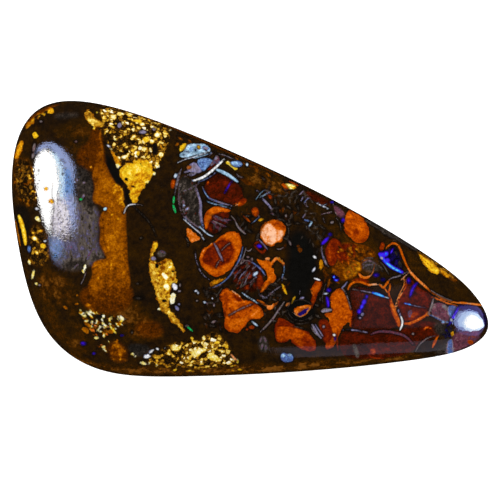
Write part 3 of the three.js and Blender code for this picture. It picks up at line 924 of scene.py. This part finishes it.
def red_cells():
    """The dark red cells and the veins round them, one crack painted white as a glint."""
    patch("jasper", 0.1, "350,290 356,286 370,289 387,296 389,303 392,312 394,318 398,326 388,330 "
          "375,330 352,330 351,320 353,312 351,302", core=0.14)
    patch("jasper", 0.2, "408,276 413,281 420,287 428,293 433,298 430,305 428,312 420,317 410,321 "
          "403,321 400,312 397,306 399,298 404,290 406,282", core=0.22)
    patch("jasper", 0.13, "340,331 352,331 375,331 400,330 410,324 424,320 438,322 442,330 436,338 "
          "420,342 415,350 400,356 380,358 355,359 340,354", core=0.17, soft=1.5)
    patch("jasper", 0.42, "407,316 412,312 419,312 416,318 409,320", soft=2)
    vein("jasper", 0.64, 3.2, "348,289 350,284.5 354,282 359,281 364,283 369,285", taper=0.3)
    vein("jasper", 0.96, 2.2, "368,285 375,284 382,284")
    patch("jasper", 0.36, "350,281 356,278 364,278 370,282 364,282 357,280", soft=2)
    vein("jasper", 0.7, 2.8, "380,285 383.5,288 386,284.5 389.5,279.5", taper=0.3)
    vein("jasper", 0.7, 2.4, "384.5,288 388,293 390,289 390,284", taper=0.3)
    vein("chalcedony", 0.5, 2.2, "341.5,288 345,285 347.5,281.5")
    vein("chalcedony", 0.38, 1.3, "352,289 356,289.5 360,290")
    vein("chalcedony", 0.48, 1.7, "360,290 367,291.5 374,293")
    vein("chalcedony", 0.84, 1.3, "382,296 386,297 389.5,298")
    vein("opal", 0.56, 3.2, "372.5,292.5 378,294 384,296.5", core=0.78, fade=1.2)
    patch("opal", 0.02, "365,294 369,295 366,304 363,312 362,318 357,318 357,311 361,303", soft=2)
    grain("opal", 0.16, 366.6, 296.4, 1.6, 2, core=0.36, fade=1)
    grain("opal", 0.2, 364, 301.8, 2.4, 3.4, 25, core=0.47, fade=1.6)
    grain("opal", 0.3, 361.8, 306.3, 1.6, 2.4, 30, core=0.52, fade=1)
    grain("opal", 0.16, 359.4, 311, 2.4, 2.8, 20, core=0.4, fade=1.6)
    grains("chalcedony", 0.5, "362.3,314,1.5,1.7,20 360,317.5,1.2,0.9")
    vein("jasper", 0.46, 3, "388.5,291 389.5,297 391,303 393,309", taper=0.2)
    vein("jasper", 0.6, 5.6, "391.5,305 394,312 397,318 399.5,325", taper=0.3)
    vein("jasper", 0.84, 1.3, "391,300 392.5,307 395,313 398,318")
    vein("jasper", 0.7, 1.3, "389,293 391.5,300 394,307")
    vein("jasper", 0.58, 3.8, "403,323 409,323.5 414,321.5 420,318.5 428,313.5", taper=0.3)
    vein("jasper", 0.88, 1.3, "408,323 414,321 420,318 427,314")
    grain("jasper", 0.86, 428, 313.4, 2.3, 2)
    vein("jasper", 0.9, 1.8, "409,272 404.5,276.5 401,280")
    vein("jasper", 0.88, 1.5, "404,278.5 404.5,284.5 401,291 398,298 395.5,305 395,311")
    vein("jasper", 0.84, 1.4, "406.5,279.5 406,286 403,291.5 400,296.5 398.5,302 396.5,308")
    vein("chalcedony", 0.42, 1.8, "388.5,280 392,277.5 398,276.5 403,274 408,271.5")
    grain("opal", 0.12, 408.7, 280.6, 2.2, 3.2, core=0.36)
    vein("opal", 0.08, 4.8, "417.5,282.5 413.5,286.5 411.5,291.5 410,297", core=0.42, fade=2.2)
    vein("opal", 0.5, 2.2, "404,303 408,303.5 412,305", core=0.86, fade=0.8)
    vein("chalcedony", 0.5, 1.6, "411,304.5 417,306 425.5,307")
    patch("chalcedony", 0.23, "407.5,311 412.5,309.5 411.5,315 409,318", core=0.38, fade=2, soft=1.5)
    grains("chalcedony", 0.5, "398.5,310.5,0.7,1.4 400,314,0.7,1.2")
    # Painted glint: a white line where light catches a crack
    vein("chalcedony", 1, 2.5, "401,316.5 402.5,320.5 402,325.5 400,329.5", taper=0.4)
    vein("chalcedony", 0.5, 2, "343,329.5 352,329.5 360,330.5 368.5,332.5")
    vein("chalcedony", 0.28, 3.2, "371,334 378,331 388,331 398,333 406,336 413,343.5")
    grain("chalcedony", 0.38, 413, 333.5, 1.2, 1)
    vein("jasper", 0.82, 2.2, "423.5,329.5 426.5,326.5 431.5,328")
    vein("chalcedony", 0.38, 1.9, "415.5,351 419,344.5 424,340 429,337 435,335.5")
    vein("jasper", 0.62, 3.2, "438.5,335 435.5,340 432.5,347")
    patch("jasper", 0.5, "370,349 374,347.5 376.5,352 373,355 370,352", soft=1.5)
    vein("jasper", 0.44, 2.6, "368,353 372,357.5 384,358")
    patch("jasper", 0.03, "344,344 366,342 370,350 362,358 346,358", soft=5)
    patch("chalcedony", 0.12, "352,344 356,344 360,356 356,358", soft=2)


def blue_flash():
    """The blue flash, the long orange vein and the gold by the upper edge."""
    patch("opal", 0.02, "379,252 384,251 389,249 393,246 397,250 400,256 402,264 402,271 399,272 393,270 "
          "387,264 381,258")
    patch("opal", 0.24, "378.5,252 384,252 389,251 388,256 383,259 380,256", core=0.4, fade=1.6)
    vein("opal", 0.36, 4.4, "379.5,254 383,259 387,263 391,266.5 396,269 402,272",
         core=0.56, fade=2, taper=0.3)
    vein("opal", 0.62, 3.4, "386,262.5 391.5,267 396,269.5 401,272", core=0.82, fade=0.9)
    grain("opal", 0.44, 386.4, 253.8, 1.9, 2, core=0.64, fade=1)
    grain("opal", 0.26, 387.6, 260, 2.8, 2.2, 30, core=0.46, fade=1.4)
    vein("opal", 0.16, 2.8, "390.5,253.5 393,248.5", core=0.5, fade=1.2)
    grain("opal", 0.06, 392.5, 258.5, 1.6, 3.4, 20, core=0.16)
    grain("opal", 0.06, 396, 262.5, 1.6, 3.4, 20, core=0.18)
    grains("chalcedony", 0.07, "400,264,1.6,3.6,-15 396,253,1.2,3,-20")
    grain("chalcedony", 0.93, 381.8, 258, 1.9, 1.2, 45)
    grain("jasper", 0.46, 382.3, 246.5, 2.2, 4, 20)
    grain("opal", 0.06, 376, 275, 3.4, 2.4, core=0.26)
    grain("opal", 0.04, 383, 279.5, 2.4, 1.8, core=0.2)
    vein("jasper", 0.64, 2.9, "386,248.5 389,245 393,243 397,244 400,248 402,254 404.5,260.5 407,266 "
         "410.5,271.5", taper=0.4)
    vein("jasper", 0.8, 3.2, "408.5,269 412,274 417,279 422,283.5 428,288.5", taper=0.2)
    vein("jasper", 0.7, 2.4, "426,287 430,290.5 434,293.5", taper=0.2)
    vein("jasper", 0.78, 2.2, "431,291 440,297 448,300.5 456,302.5 463,303", taper=0.2)
    vein("chalcedony", 0.4, 1.2, "430,289.5 438,294.5 446,298.5 452,300.5")
    vein("jasper", 0.7, 2.3, "432.5,297 440,300 447,303 457,305.5", taper=0.4)
    vein("jasper", 0.8, 2.7, "460,302.5 467,303 475,304 483,305", taper=0.2)
    patch("limonite", 0.16, "414,248 430,257 446,268 458,279 456,283 446,277 436,270 420,257", soft=1.5)
    patch("sand", 0.5, "414,249 430,257 446,268 458,280 446,276 436,270 420,257")
    patch("limonite", 0.58, "418,253 423,256 430,260 436,266 440,270 439,274 436,275 431,272 427,268 "
          "423,262 420,257", core=0.75, fade=2)
    vein("limonite", 0.4, 1.4, "422,258 428,264 434,269")
    patch("limonite", 0.54, "440,268.5 445,271 450,277 447,278 442,273.5", core=0.66, fade=1.5)
    patch("chalcedony", 0.05, "362,264 368,259 376,262 380,270 372,273 364,270", soft=5)
    vein("jasper", 0.7, 1.7, "371.5,274 374,269 374.5,263.5")
    vein("jasper", 0.8, 3.2, "358.5,273 361,276.5 365.5,278 370,276")
    vein("jasper", 0.88, 1.8, "366,278 371,275.5 373.5,271")
    for tone, points in (
        (0.38, "362,265 366,260.6 371.6,260.6 376,264"),
        (0.38, "363,268 367,264.4 372.6,265"),
        (0.15, "362,261 367,257.6 373,258"),
        (0.14, "376,259.6 381,262 385,267.4 388.6,274"),
        (0.14, "377,264 380.6,267.4 383,271.6"),
        (0.12, "376.6,270 379.6,266 383,269"),
        (0.1, "365,270 368,267.6 371,268.6"),
    ):
        vein("chalcedony", tone, 1.7, points)


def tip():
    """The grey and violet tip."""
    patch("chalcedony", 0.3, "433,303 440,302 447,305 449,312 450,320 443,320 436,317 431,313")
    patch("chalcedony", 0.42, "441,304.5 447,305.5 448,311 444,308.5", soft=2.5)
    vein("chalcedony", 0.38, 2.6, "433.5,298 432,305 430,310 428.5,313.5")
    vein("chalcedony", 0.56, 1.8, "429.5,314.5 436,317.5 442.5,321 448,321.5")
    grains("chalcedony", 0.82, "443,322.3,1.5,1.3 447.5,322.4,1.2,1")
    patch("opal", 0.03, "458,304 470,304 481,308 487,318 486,330 480,320 470,311 459,310", soft=2)
    patch("chalcedony", 0.3, "452,334 464,331 480,330 480,338 468,346 452,352 452,342", soft=3)
    patch("chalcedony", 0.03, "434,350 440,344 450,341 450,352 438,355", soft=4)
    patch("chalcedony", 0.05, "432,324 442,322 446,332 438,337", soft=5)
    shadow = "440,324 450,322 453,330 451,338 442,337"
    patch("chalcedony", 0.03, shadow, soft=3)
    speckle("opal", (0.02, 0.1), shadow, 9, 1.8, 0.9)
    patch("chalcedony", 0.57, "448,306 452,305 458,307 454,313 451,318 448,313")
    vein("opal", 0.1, 5, "458.5,307 455.5,313 452.5,318.5 449.5,324", core=0.4, fade=2)
    grain("chalcedony", 0.86, 451.6, 319.6, 1.6, 1.8)
    grain("limonite", 0.66, 452.3, 333.5, 1.8, 2.8)
    vein("jasper", 0.62, 2, "468,343 468,339 471,335.5 476,337.5")
    grain("jasper", 0.62, 470.5, 341.6, 3, 2.4, core=0.4)
    patch("chalcedony", 0.57, "448,340 452,338 453,347 453,354 446,354 447,346", core=0.56)


def back_markings():
    """The same kinds of marking on the ground back, where the choice is free: a seam, nodules and cracks."""
    draw = BACK_CHANCE
    middle = STONE_MIDDLE + BACK_SHIFT
    seam = "-150,-90 -120,-96 -104,-40 -96,20 -110,90 -138,104 -150,40 -142,-20"
    patch("limonite", 0.34, middle + spots(seam))
    for _ in range(BACK_NODULES):
        spot = middle + draw.uniform((-190, -70), (150, 90))
        size = draw.uniform(4, 13)
        turns = np.sort(draw.uniform(0, math.tau, 8))
        ring = spot + size * draw.uniform(0.7, 1.2, (8, 1)) * np.column_stack([np.cos(turns), np.sin(turns)])
        patch("jasper", draw.uniform(0.3, 0.6), ring, core=draw.uniform(0.1, 0.5), fade=size / 2)
    for _ in range(BACK_CRACKS):
        line = middle + draw.uniform((-200, -80), (170, 100)) + np.cumsum(draw.normal(0, 9, (5, 2)), axis=0)
        vein("chalcedony", draw.uniform(0.1, 0.4), draw.uniform(1, 2.4), line)
    for _ in range(BACK_FLECKS):
        spot = middle + draw.uniform((-200, -90), (180, 110))
        tone = draw.uniform(0.2, 0.6)
        long = draw.uniform(0.8, 3)
        short = draw.uniform(0.8, 2)
        grain("limonite", tone, *spot, long, short, draw.uniform(0, 180))


def draw_markings():
    """All marks, each laid over those before it."""
    left_end()
    ochre_band()
    gold_fan()
    gold_lens()
    lower_left()
    murk()
    blue_patches()
    red_nodules()
    left_arcs()
    peach_group()
    orange_group()
    upper_right()
    eye_group()
    long_nodule()
    red_cells()
    blue_flash()
    tip()
    back_markings()


class Outline:
    """The girdle of the CAD stone as a smooth closed line, with its reach from the crown all round."""

    def __init__(self):
        self.points = self.even(self.smooth(self.corners()))
        away = self.points - CROWN
        angle = np.arctan2(away[:, 1], away[:, 0])
        order = np.argsort(angle)
        reach = np.hypot(away[:, 0], away[:, 1])[order]
        self.angle = np.concatenate([angle[order] - math.tau, angle[order], angle[order] + math.tau])
        self.reach = np.tile(reach, 3)
        along = np.roll(self.points, -1, axis=0) - np.roll(self.points, 1, axis=0)
        along /= np.linalg.norm(along, axis=1)[:, None]
        self.outward = np.column_stack([along[:, 1], -along[:, 0]])

    @staticmethod
    def corners(nearness=1e-5):
        """Corners of the CAD stone at the girdle's height, in order round the crown."""
        corners = np.array([v.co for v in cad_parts["stone"].data.vertices])
        ring = corners[np.abs(corners[:, 2] - GIRDLE_HEIGHT) < nearness][:, :2]
        ring = np.unique(np.round(ring, 8), axis=0)
        return ring[np.argsort(np.arctan2(*(ring - CROWN).T[::-1]))]

    @staticmethod
    def smooth(ring, steps=24):
        """A smooth closed curve through the corners."""
        u = (np.arange(steps) / steps)[:, None, None]
        before, here = np.roll(ring, 1, axis=0), ring
        after, beyond = np.roll(ring, -1, axis=0), np.roll(ring, -2, axis=0)
        curve = 0.5 * (2 * here + (after - before) * u + (2 * before - 5 * here + 4 * after - beyond) * u**2
                       + (3 * here - before - 3 * after + beyond) * u**3)
        return curve.transpose(1, 0, 2).reshape(-1, 2)

    @staticmethod
    def even(line):
        """RING_POINTS points evenly along the closed line."""
        closed = np.vstack([line, line[:1]])
        passed = np.concatenate([[0], np.cumsum(np.linalg.norm(np.diff(closed, axis=0), axis=1))])
        wanted = np.linspace(0, passed[-1], RING_POINTS, endpoint=False)
        return np.column_stack([np.interp(wanted, passed, closed[:, k]) for k in (0, 1)])

    def reach_towards(self, places):
        """The distance from the crown to the girdle in the direction of each place."""
        away = places - CROWN
        return np.interp(np.arctan2(away[:, 1], away[:, 0]), self.angle, self.reach)

    def gauge(self, places):
        """How far out each place lies: 0 at the crown and 1 at the girdle."""
        away = places - CROWN
        return np.hypot(away[:, 0], away[:, 1]) / self.reach_towards(places)


def dome_height(gauge):
    """Height of the face above the back, from how far out a place lies."""
    return GIRDLE_HEIGHT + (THICKNESS - GIRDLE_HEIGHT) * np.sqrt(np.clip(1 - gauge**DOME_POWER, 0, None))


def hex_grid(step):
    """Points of a triangular grid over the stone's box, a step apart."""
    rows = np.arange(BOX_LOW.y, BOX_HIGH.y, step * math.sqrt(0.75))
    columns = np.arange(BOX_LOW.x, BOX_HIGH.x, step)
    x, y = np.meshgrid(columns, rows)
    x[1::2] += step / 2
    return np.column_stack([x.ravel(), y.ravel()])


def fill(inner, ring, tolerance=1e-5):
    """Triangles between the inner points and the ring around them, as indices into both put together."""
    first = len(inner)
    edges = [(first + i, first + (i + 1) % len(ring)) for i in range(len(ring))]
    scale = 1 / PIXEL[0]
    corners = [Vector(place * scale) for place in np.vstack([inner, ring])]
    return np.array(delaunay_2d_cdt(corners, edges, [], 1, tolerance)[2])


def to_pixels(places, heights):
    """Where the camera sees each point, in pixels of the photograph."""
    nearness = CAMERA_RISE / (CAMERA_RISE + GIRDLE_HEIGHT - heights)
    seen = CAMERA_PLACE + (places - CAMERA_PLACE) * nearness[:, None]
    return STONE_MIDDLE + seen / PIXEL * (1, -1)


def to_place(pixels):
    """About where a pixel of the photograph lies on the stone."""
    return (pixels - STONE_MIDDLE) * PIXEL * (1, -1)


def ring_share(angle):
    """How far out the dome's ring at an angle above the girdle lies, as a share of the reach."""
    return math.cos(angle) ** (2 / DOME_POWER)


def face_points(outline):
    """Points of the face, closest together along the fine markings."""
    seeds = np.vstack([mark.seeds for mark in marks if mark.seeds is not None])
    seeds = seeds[seeds[:, 0] < PHOTO_SIZE]
    seeds = seeds[np.unique(np.round(seeds / SEED_STEP), axis=0, return_index=True)[1]]
    step = FACE_STEP * PIXEL[0]
    grid = hex_grid(step)
    near = set(map(tuple, np.floor(to_place(seeds) / step).astype(int)))
    free = [tuple(cell) not in near for cell in np.floor(grid / step).astype(int)]
    places = np.vstack([grid[free], to_place(seeds)])
    return places[outline.gauge(places) < ring_share(RIM_START) - RIM_CLEARANCE]


def side_rings(outline):
    """Rings from the rim of the face over the girdle down to the back, with heights and pattern places."""
    rings, heights, pattern = [], [], []
    for angle in np.linspace(RIM_START, 0, RIM_RINGS):
        rings.append(CROWN + (outline.points - CROWN) * ring_share(angle))
        heights.append(np.full(RING_POINTS, GIRDLE_HEIGHT + (THICKNESS - GIRDLE_HEIGHT) * math.sin(angle)))
        pattern.append(to_pixels(rings[-1], heights[-1]))
    for level in np.linspace(1, 0, WALL_RINGS + 1)[1:]:
        rings.append(outline.points - outline.outward * BACK_INSET * (1 - level) ** 2)
        heights.append(np.full(RING_POINTS, GIRDLE_HEIGHT * level))
        unrolled = outline.points + outline.outward * GIRDLE_HEIGHT * (1 - level)
        pattern.append(to_pixels(unrolled, np.full(RING_POINTS, GIRDLE_HEIGHT)))
    return rings, heights, pattern


def back_points(outline, edge):
    """Points of the flat back, a step inside its edge."""
    step = BACK_STEP * PIXEL[0]
    grid = hex_grid(step)
    step_in = 1 - step / np.linalg.norm(edge - CROWN, axis=1).max()
    reach = outline.reach_towards(grid) - BACK_INSET
    return grid[np.linalg.norm(grid - CROWN, axis=1) < reach * step_in]


def band(upper, lower):
    """Triangles between two rings, from the index of the first point of each."""
    here = np.arange(RING_POINTS)
    after = np.roll(here, -1)
    return [
        np.column_stack([upper + here, lower + here, lower + after]),
        np.column_stack([upper + here, lower + after, upper + after]),
    ]


def build_skin():
    """Vertices, triangles and pattern places of the whole stone."""
    outline = Outline()
    face = face_points(outline)
    rings, heights, pattern = side_rings(outline)
    back = back_points(outline, rings[-1])
    face_height = dome_height(outline.gauge(face))
    back_height = np.zeros(len(back))
    flat = np.vstack([face, *rings, back])
    high = np.concatenate([face_height, *heights, back_height])
    back_pattern = to_pixels(back, back_height) + BACK_SHIFT
    pixels = np.vstack([to_pixels(face, face_height), *pattern, back_pattern])

    starts = len(face) + RING_POINTS * np.arange(len(rings) + 1)
    triangles = [fill(face, rings[0])]
    for upper, lower in zip(starts[:-2], starts[1:-1]):
        triangles += band(upper, lower)
    under = fill(back, rings[-1])
    under = np.where(under < len(back), under + starts[-1], under - len(back) + starts[-2])
    triangles.append(under[:, ::-1])
    return np.column_stack([flat, high]), np.vstack(triangles), pixels


def cover(gap):
    """How much of a point a mark covers, from its distance outside the mark's edge."""
    return np.clip(0.5 - gap, 0, 1)


def lay_plain(field, near, mark, gap):
    """Bring a field to the mark's tone, softly over the width of its fade."""
    share = cover(gap / (2 * mark.fade))
    field[near] += (mark.tone - field[near]) * share * share * (3 - 2 * share)


def lay_family(field, near, mark, gap):
    """Join a mark to the marks of its family: the nearest distance, and its tone and wander."""
    tone = mark.tone + (mark.core - mark.tone) * np.clip(-gap / mark.fade, 0, 1)
    share = np.maximum(cover(gap), gap < field[near, 0])
    field[near, 1] += (tone - field[near, 1]) * share
    field[near, 2] += (mark.wander - field[near, 2]) * share
    field[near, 0] = np.minimum(field[near, 0], gap)


def paint(pixels):
    """Fields over the skin's points: for each family the distance to its nearest mark, with its tone and
    wander, and together the ground's tone, the sand and the dullness. A hole clears every family."""
    count = len(pixels)
    empty = np.column_stack([np.full(count, FAR), np.zeros(count), np.ones(count)])
    fields = {family: empty.copy() for family in FAMILIES}
    back = (pixels[:, 0] > BACK_START).astype(float)
    plain = {"ground": np.full(count, GROUND_TONE), "sand": np.zeros(count), "dull": back}
    for mark in marks:
        near = np.flatnonzero(((pixels > mark.low) & (pixels < mark.high)).all(1))
        if not len(near):
            continue
        gap = mark.distance(pixels[near])
        if mark.family in plain:
            lay_plain(plain[mark.family], near, mark, gap)
            continue
        plain["sand"][near] *= 1 - cover(gap)
        first = 0 if mark.family == "hole" else FAMILIES.index(mark.family) + 1
        for family in FAMILIES[first:]:
            field = fields[family]
            field[near, 0] = np.maximum(field[near, 0], -gap)
        if mark.family == "hole":
            plain["ground"][near] += (mark.tone - plain["ground"][near]) * cover(gap)
        else:
            lay_family(fields[mark.family], near, mark, gap)
    return fields, np.column_stack(list(plain.values()))


def linear(colour):
    """A colour of the photograph, 0 to 255, as the linear values that the shader takes."""
    share = np.array(colour, float) / 255
    return np.where(share <= 0.04045, share / 12.92, ((share + 0.055) / 1.055) ** 2.4)


class Graph:
    """Short ways of adding and linking shader nodes."""

    def __init__(self, material):
        material.use_nodes = True
        self.tree = material.node_tree
        self.shader = self.tree.nodes["Principled BSDF"]

    def node(self, kind, values=(), **settings):
        made = self.tree.nodes.new(kind)
        for name, value in settings.items():
            setattr(made, name, value)
        for socket, value in dict(values).items():
            self.put(made.inputs[socket], value)
        return made

    def put(self, socket, value):
        if isinstance(value, bpy.types.NodeSocket):
            self.tree.links.new(value, socket)
        else:
            socket.default_value = value

    def set_inputs(self, **values):
        """Set or link inputs of the shader, with spaces in their names written as underscores."""
        for name, value in values.items():
            self.put(self.shader.inputs[name.replace("_", " ")], value)

    def math(self, operation, a, b=0.0, c=0.0):
        return self.node("ShaderNodeMath", {0: a, 1: b, 2: c}, operation=operation).outputs[0]

    def swing(self, base, textures, amounts):
        """base, plus each texture that amounts names, times its amount."""
        for name, amount in amounts.items():
            base = self.math("MULTIPLY_ADD", textures[name], amount, base)
        return base

    def step(self, value, low, high, to_low=0.0, to_high=1.0):
        """A soft step from to_low at low to to_high at high."""
        values = {0: value, 1: low, 2: high, 3: to_low, 4: to_high}
        return self.node("ShaderNodeMapRange", values, interpolation_type="SMOOTHSTEP").outputs[0]

    def noise(self, where, pixels, detail=2.0, roughness=0.5):
        """Noise from about -1 to 1, whose lumps are some pixels of the photograph across."""
        scale = 1 / (pixels * float(PIXEL[0]))
        values = {"Vector": where, "Scale": scale, "Detail": detail, "Roughness": roughness}
        share = self.node("ShaderNodeTexNoise", values).outputs[0]
        return self.math("MULTIPLY_ADD", share, NOISE_GAIN, -NOISE_GAIN / 2)

    def ramp(self, tone, stops):
        made = self.node("ShaderNodeValToRGB", {0: tone})
        elements = made.color_ramp.elements
        while len(elements) < len(stops):
            elements.new(0.5)
        for element, (place, _) in zip(elements, stops):
            element.position = place
        for element, (_, colour) in zip(elements, stops):
            element.color = (*linear(colour), 1)
        return made.outputs[0]

    def mix(self, share, a, b, blend="MIX"):
        made = self.node("ShaderNodeMix", data_type="RGBA", blend_type=blend)
        self.put(made.inputs["Factor"], share)
        for socket, value in (("A", a), ("B", b)):
            self.put([s for s in made.inputs if s.name == socket and s.type == "RGBA"][0], value)
        return [s for s in made.outputs if s.type == "RGBA"][0]

    def attribute(self, name):
        made = self.node("ShaderNodeAttribute", attribute_name=name)
        return self.node("ShaderNodeSeparateXYZ", {0: made.outputs["Vector"]}).outputs


def sand_and_glint_texture(graph, where):
    """A tone for each grain of sand, mostly dark, with darker gaps between the grains; the brightest grains
    are painted glints.
    """
    grid = {"Vector": where, "Scale": 1 / (SAND_SIZE * float(PIXEL[0]))}
    cells = graph.node("ShaderNodeTexVoronoi", grid)
    tone = graph.node("ShaderNodeSeparateColor", {0: cells.outputs["Color"]}).outputs[0]
    edge = graph.node("ShaderNodeTexVoronoi", grid, feature="DISTANCE_TO_EDGE").outputs["Distance"]
    gap = graph.step(edge, *SAND_GAP, SAND_GAP_DEPTH, 0.0)
    return graph.math("SUBTRACT", graph.math("POWER", tone, SAND_POWER), gap)


def make_textures(graph):
    """All textures by name, in the stone's own coordinates."""
    where = graph.node("ShaderNodeTexCoord").outputs["Object"]
    textures = {name: graph.noise(where, *values) for name, values in NOISES.items()}
    slant = {"Vector": where, "Rotation": (0, 0, STREAK_TURN), "Scale": (1, STREAK_SQUEEZE, 1)}
    slanted = graph.node("ShaderNodeMapping", slant).outputs[0]
    textures["streak"] = graph.noise(slanted, *STREAK_NOISE)
    textures["sand"] = sand_and_glint_texture(graph, where)
    return textures


def family_colour(graph, textures, family, tone, sand):
    """The colour of a family's marks, from their tone."""
    drift = TONE_DRIFT[family]
    tone = graph.swing(tone, textures, {"mottle": drift, "fine": TONE_GRAIN[family], "lumps": drift})
    if family == "limonite":
        tone = graph.swing(tone, textures, {"sand": sand})
    colour = graph.ramp(tone, RAMPS[family])
    if family == "limonite":
        colour = graph.mix(graph.step(sand, 0.0, SAND_FULL), colour, graph.ramp(tone, RAMPS["gold sand"]))
    if family == "chalcedony":
        colour = graph.mix(1.0, colour, graph.swing(1.0, textures, {"streak": STREAK_DEPTH}), "MULTIPLY")
    return colour


def lay_colour(graph, textures, family, below, sand):
    """The colour below with a family's marks and their dark outlines laid over it, and what they cover."""
    gap, tone, wander = graph.attribute(family)
    roam = graph.math("MULTIPLY", wander, EDGE_WANDER[family])
    gap = graph.swing(gap, textures, {"mottle": roam, "lumps": roam})
    sharp = graph.step(wander, *HALO_WANDER)
    halo = graph.math("MULTIPLY", graph.step(gap, HALO_START, HALO_FULL, 0, HALO[family]), sharp)
    below = graph.mix(halo, below, (*linear(HALO_COLOUR), 1))
    covered = graph.step(gap, EDGE_BLUR, -EDGE_BLUR)
    return graph.mix(covered, below, family_colour(graph, textures, family, tone, sand)), covered


def stone_material():
    material = bpy.data.materials.new("boulder_opal")
    graph = Graph(material)
    textures = make_textures(graph)
    ground_tone, sand, dull = graph.attribute("plain")
    tone = graph.math("MULTIPLY", ground_tone, graph.swing(1.0, textures, GROUND_SWING))
    colour = graph.ramp(tone, RAMPS["ground"])
    covered = {}
    for family in FAMILIES:
        colour, covered[family] = lay_colour(graph, textures, family, colour, sand)
    shade = graph.swing(1.0, textures, SHADE_SWING)

    pits = graph.math("MULTIPLY", covered["chalcedony"], graph.step(textures["fine"], *PITS))
    dull = graph.math("MAXIMUM", dull, pits)
    relief = {"Strength": BUMP_STRENGTH, "Distance": BUMP_HEIGHT, "Height": textures["polish"]}
    graph.set_inputs(
        Base_Color=graph.mix(1.0, colour, shade, "MULTIPLY"),
        Roughness=graph.swing(ROUGHNESS, textures, {"lumps": ROUGHNESS_SWING}),
        Normal=graph.node("ShaderNodeBump", relief).outputs[0],
        Specular_IOR_Level=graph.math("MULTIPLY_ADD", dull, -POLISHED_SPECULAR, POLISHED_SPECULAR),
        IOR=REFRACTION,
    )
    return material


def add_attribute(mesh, name, values):
    made = mesh.attributes.new(name, "FLOAT_VECTOR", "POINT")
    made.data.foreach_set("vector", np.asarray(values, np.float32).ravel())


def make_stone():
    draw_markings()
    points, triangles, pixels = build_skin()
    fields, plain = paint(pixels)
    mesh = bpy.data.meshes.new("boulder_opal")
    mesh.from_pydata(points.tolist(), [], triangles.tolist())
    add_attribute(mesh, "plain", plain)
    for family, field in fields.items():
        add_attribute(mesh, family, field)
    mesh.shade_smooth()
    mesh.materials.append(stone_material())
    stone = bpy.data.objects.new("boulder_opal", mesh)
    bpy.context.collection.objects.link(stone)
    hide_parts("stone")
    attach(stone, "root")


def make_floor():
    mesh = bpy.data.meshes.new("floor")
    half = FLOOR_HALF
    corners = [(-half, -half, 0), (half, -half, 0), (half, half, 0), (-half, half, 0)]
    mesh.from_pydata(corners, [], [(0, 1, 2, 3)])
    material = bpy.data.materials.new("pale_floor")
    Graph(material).set_inputs(
        Base_Color=FLOOR_COLOUR,
        Roughness=FLOOR_ROUGHNESS,
        Emission_Color=WHITE,
        Emission_Strength=1.0,
    )
    mesh.materials.append(material)
    floor = bpy.data.objects.new("floor", mesh)
    floor.location.z = -FLOOR_DROP
    floor.visible_glossy = False
    bpy.context.collection.objects.link(floor)


def on_face(outline, pixels, rounds=4):
    """Points of the dome that the camera sees at the pixels."""
    places = to_place(pixels)
    for _ in range(rounds):
        heights = dome_height(outline.gauge(places))
        places = places + to_place(pixels) - to_place(to_pixels(places, heights))
    return np.column_stack([places, heights])


def mirrored(outline, face):
    """The direction from which the polished face mirrors light into the camera at each point."""
    step = 2 * PIXEL[0]
    slopes = []
    for shift in (np.array([step, 0]), np.array([0, step])):
        ahead = dome_height(outline.gauge(face[:, :2] + shift))
        behind = dome_height(outline.gauge(face[:, :2] - shift))
        slopes.append((ahead - behind) / (2 * step))
    normal = np.column_stack([-slopes[0], -slopes[1], np.ones(len(face))])
    normal /= np.linalg.norm(normal, axis=1)[:, None]
    view = np.array([*CAMERA_PLACE, GIRDLE_HEIGHT + CAMERA_RISE]) - face
    view /= np.linalg.norm(view, axis=1)[:, None]
    return 2 * (normal * view).sum(1)[:, None] * normal - view


def soft_card(outline, name, distance, strength, colour, pixels):
    """A glowing card that only the polish mirrors, cut so that its reflection fills the pixels' outline."""
    face = on_face(outline, spots(pixels))
    corners = face + mirrored(outline, face) * distance
    mesh = bpy.data.meshes.new(name)
    mesh.from_pydata(corners.tolist(), [], [list(range(len(corners)))])
    material = bpy.data.materials.new(name)
    Graph(material).set_inputs(
        Base_Color=(0, 0, 0, 1),
        Specular_IOR_Level=0,
        Emission_Color=(*colour, 1),
        Emission_Strength=strength,
    )
    mesh.materials.append(material)
    card = bpy.data.objects.new(name, mesh)
    card.visible_camera = False
    card.visible_diffuse = False
    card.visible_shadow = False
    bpy.context.collection.objects.link(card)


def make_lights():
    world = bpy.data.worlds.new("studio")
    bpy.context.scene.world = world
    world.use_nodes = True
    backdrop = world.node_tree.nodes["Background"]
    backdrop.inputs["Color"].default_value = WHITE
    backdrop.inputs["Strength"].default_value = WORLD_STRENGTH
    world.cycles_visibility.glossy = False

    key = bpy.data.lights.new("key", "AREA")
    key.size = KEY_SIZE
    key.energy = KEY_ENERGY
    lamp = bpy.data.objects.new("key", key)
    lamp.location = KEY_PLACE
    lamp.rotation_mode = "QUATERNION"
    lamp.rotation_quaternion = Vector(KEY_PLACE).to_track_quat("Z", "Y")
    lamp.visible_camera = False
    lamp.visible_glossy = False
    bpy.context.collection.objects.link(lamp)

    outline = Outline()
    for card in CARDS:
        soft_card(outline, *card)


def make_camera():
    camera = bpy.data.objects.new("camera", bpy.data.cameras.new("camera"))
    camera.data.lens = LENS_MM
    camera.data.sensor_width = SENSOR_MM
    camera.location = (*CAMERA_PLACE, GIRDLE_HEIGHT + CAMERA_RISE)
    bpy.context.collection.objects.link(camera)
    bpy.context.scene.camera = camera


make_stone()
make_floor()
make_lights()
make_camera()
bpy.context.scene.view_settings.view_transform = "Standard"
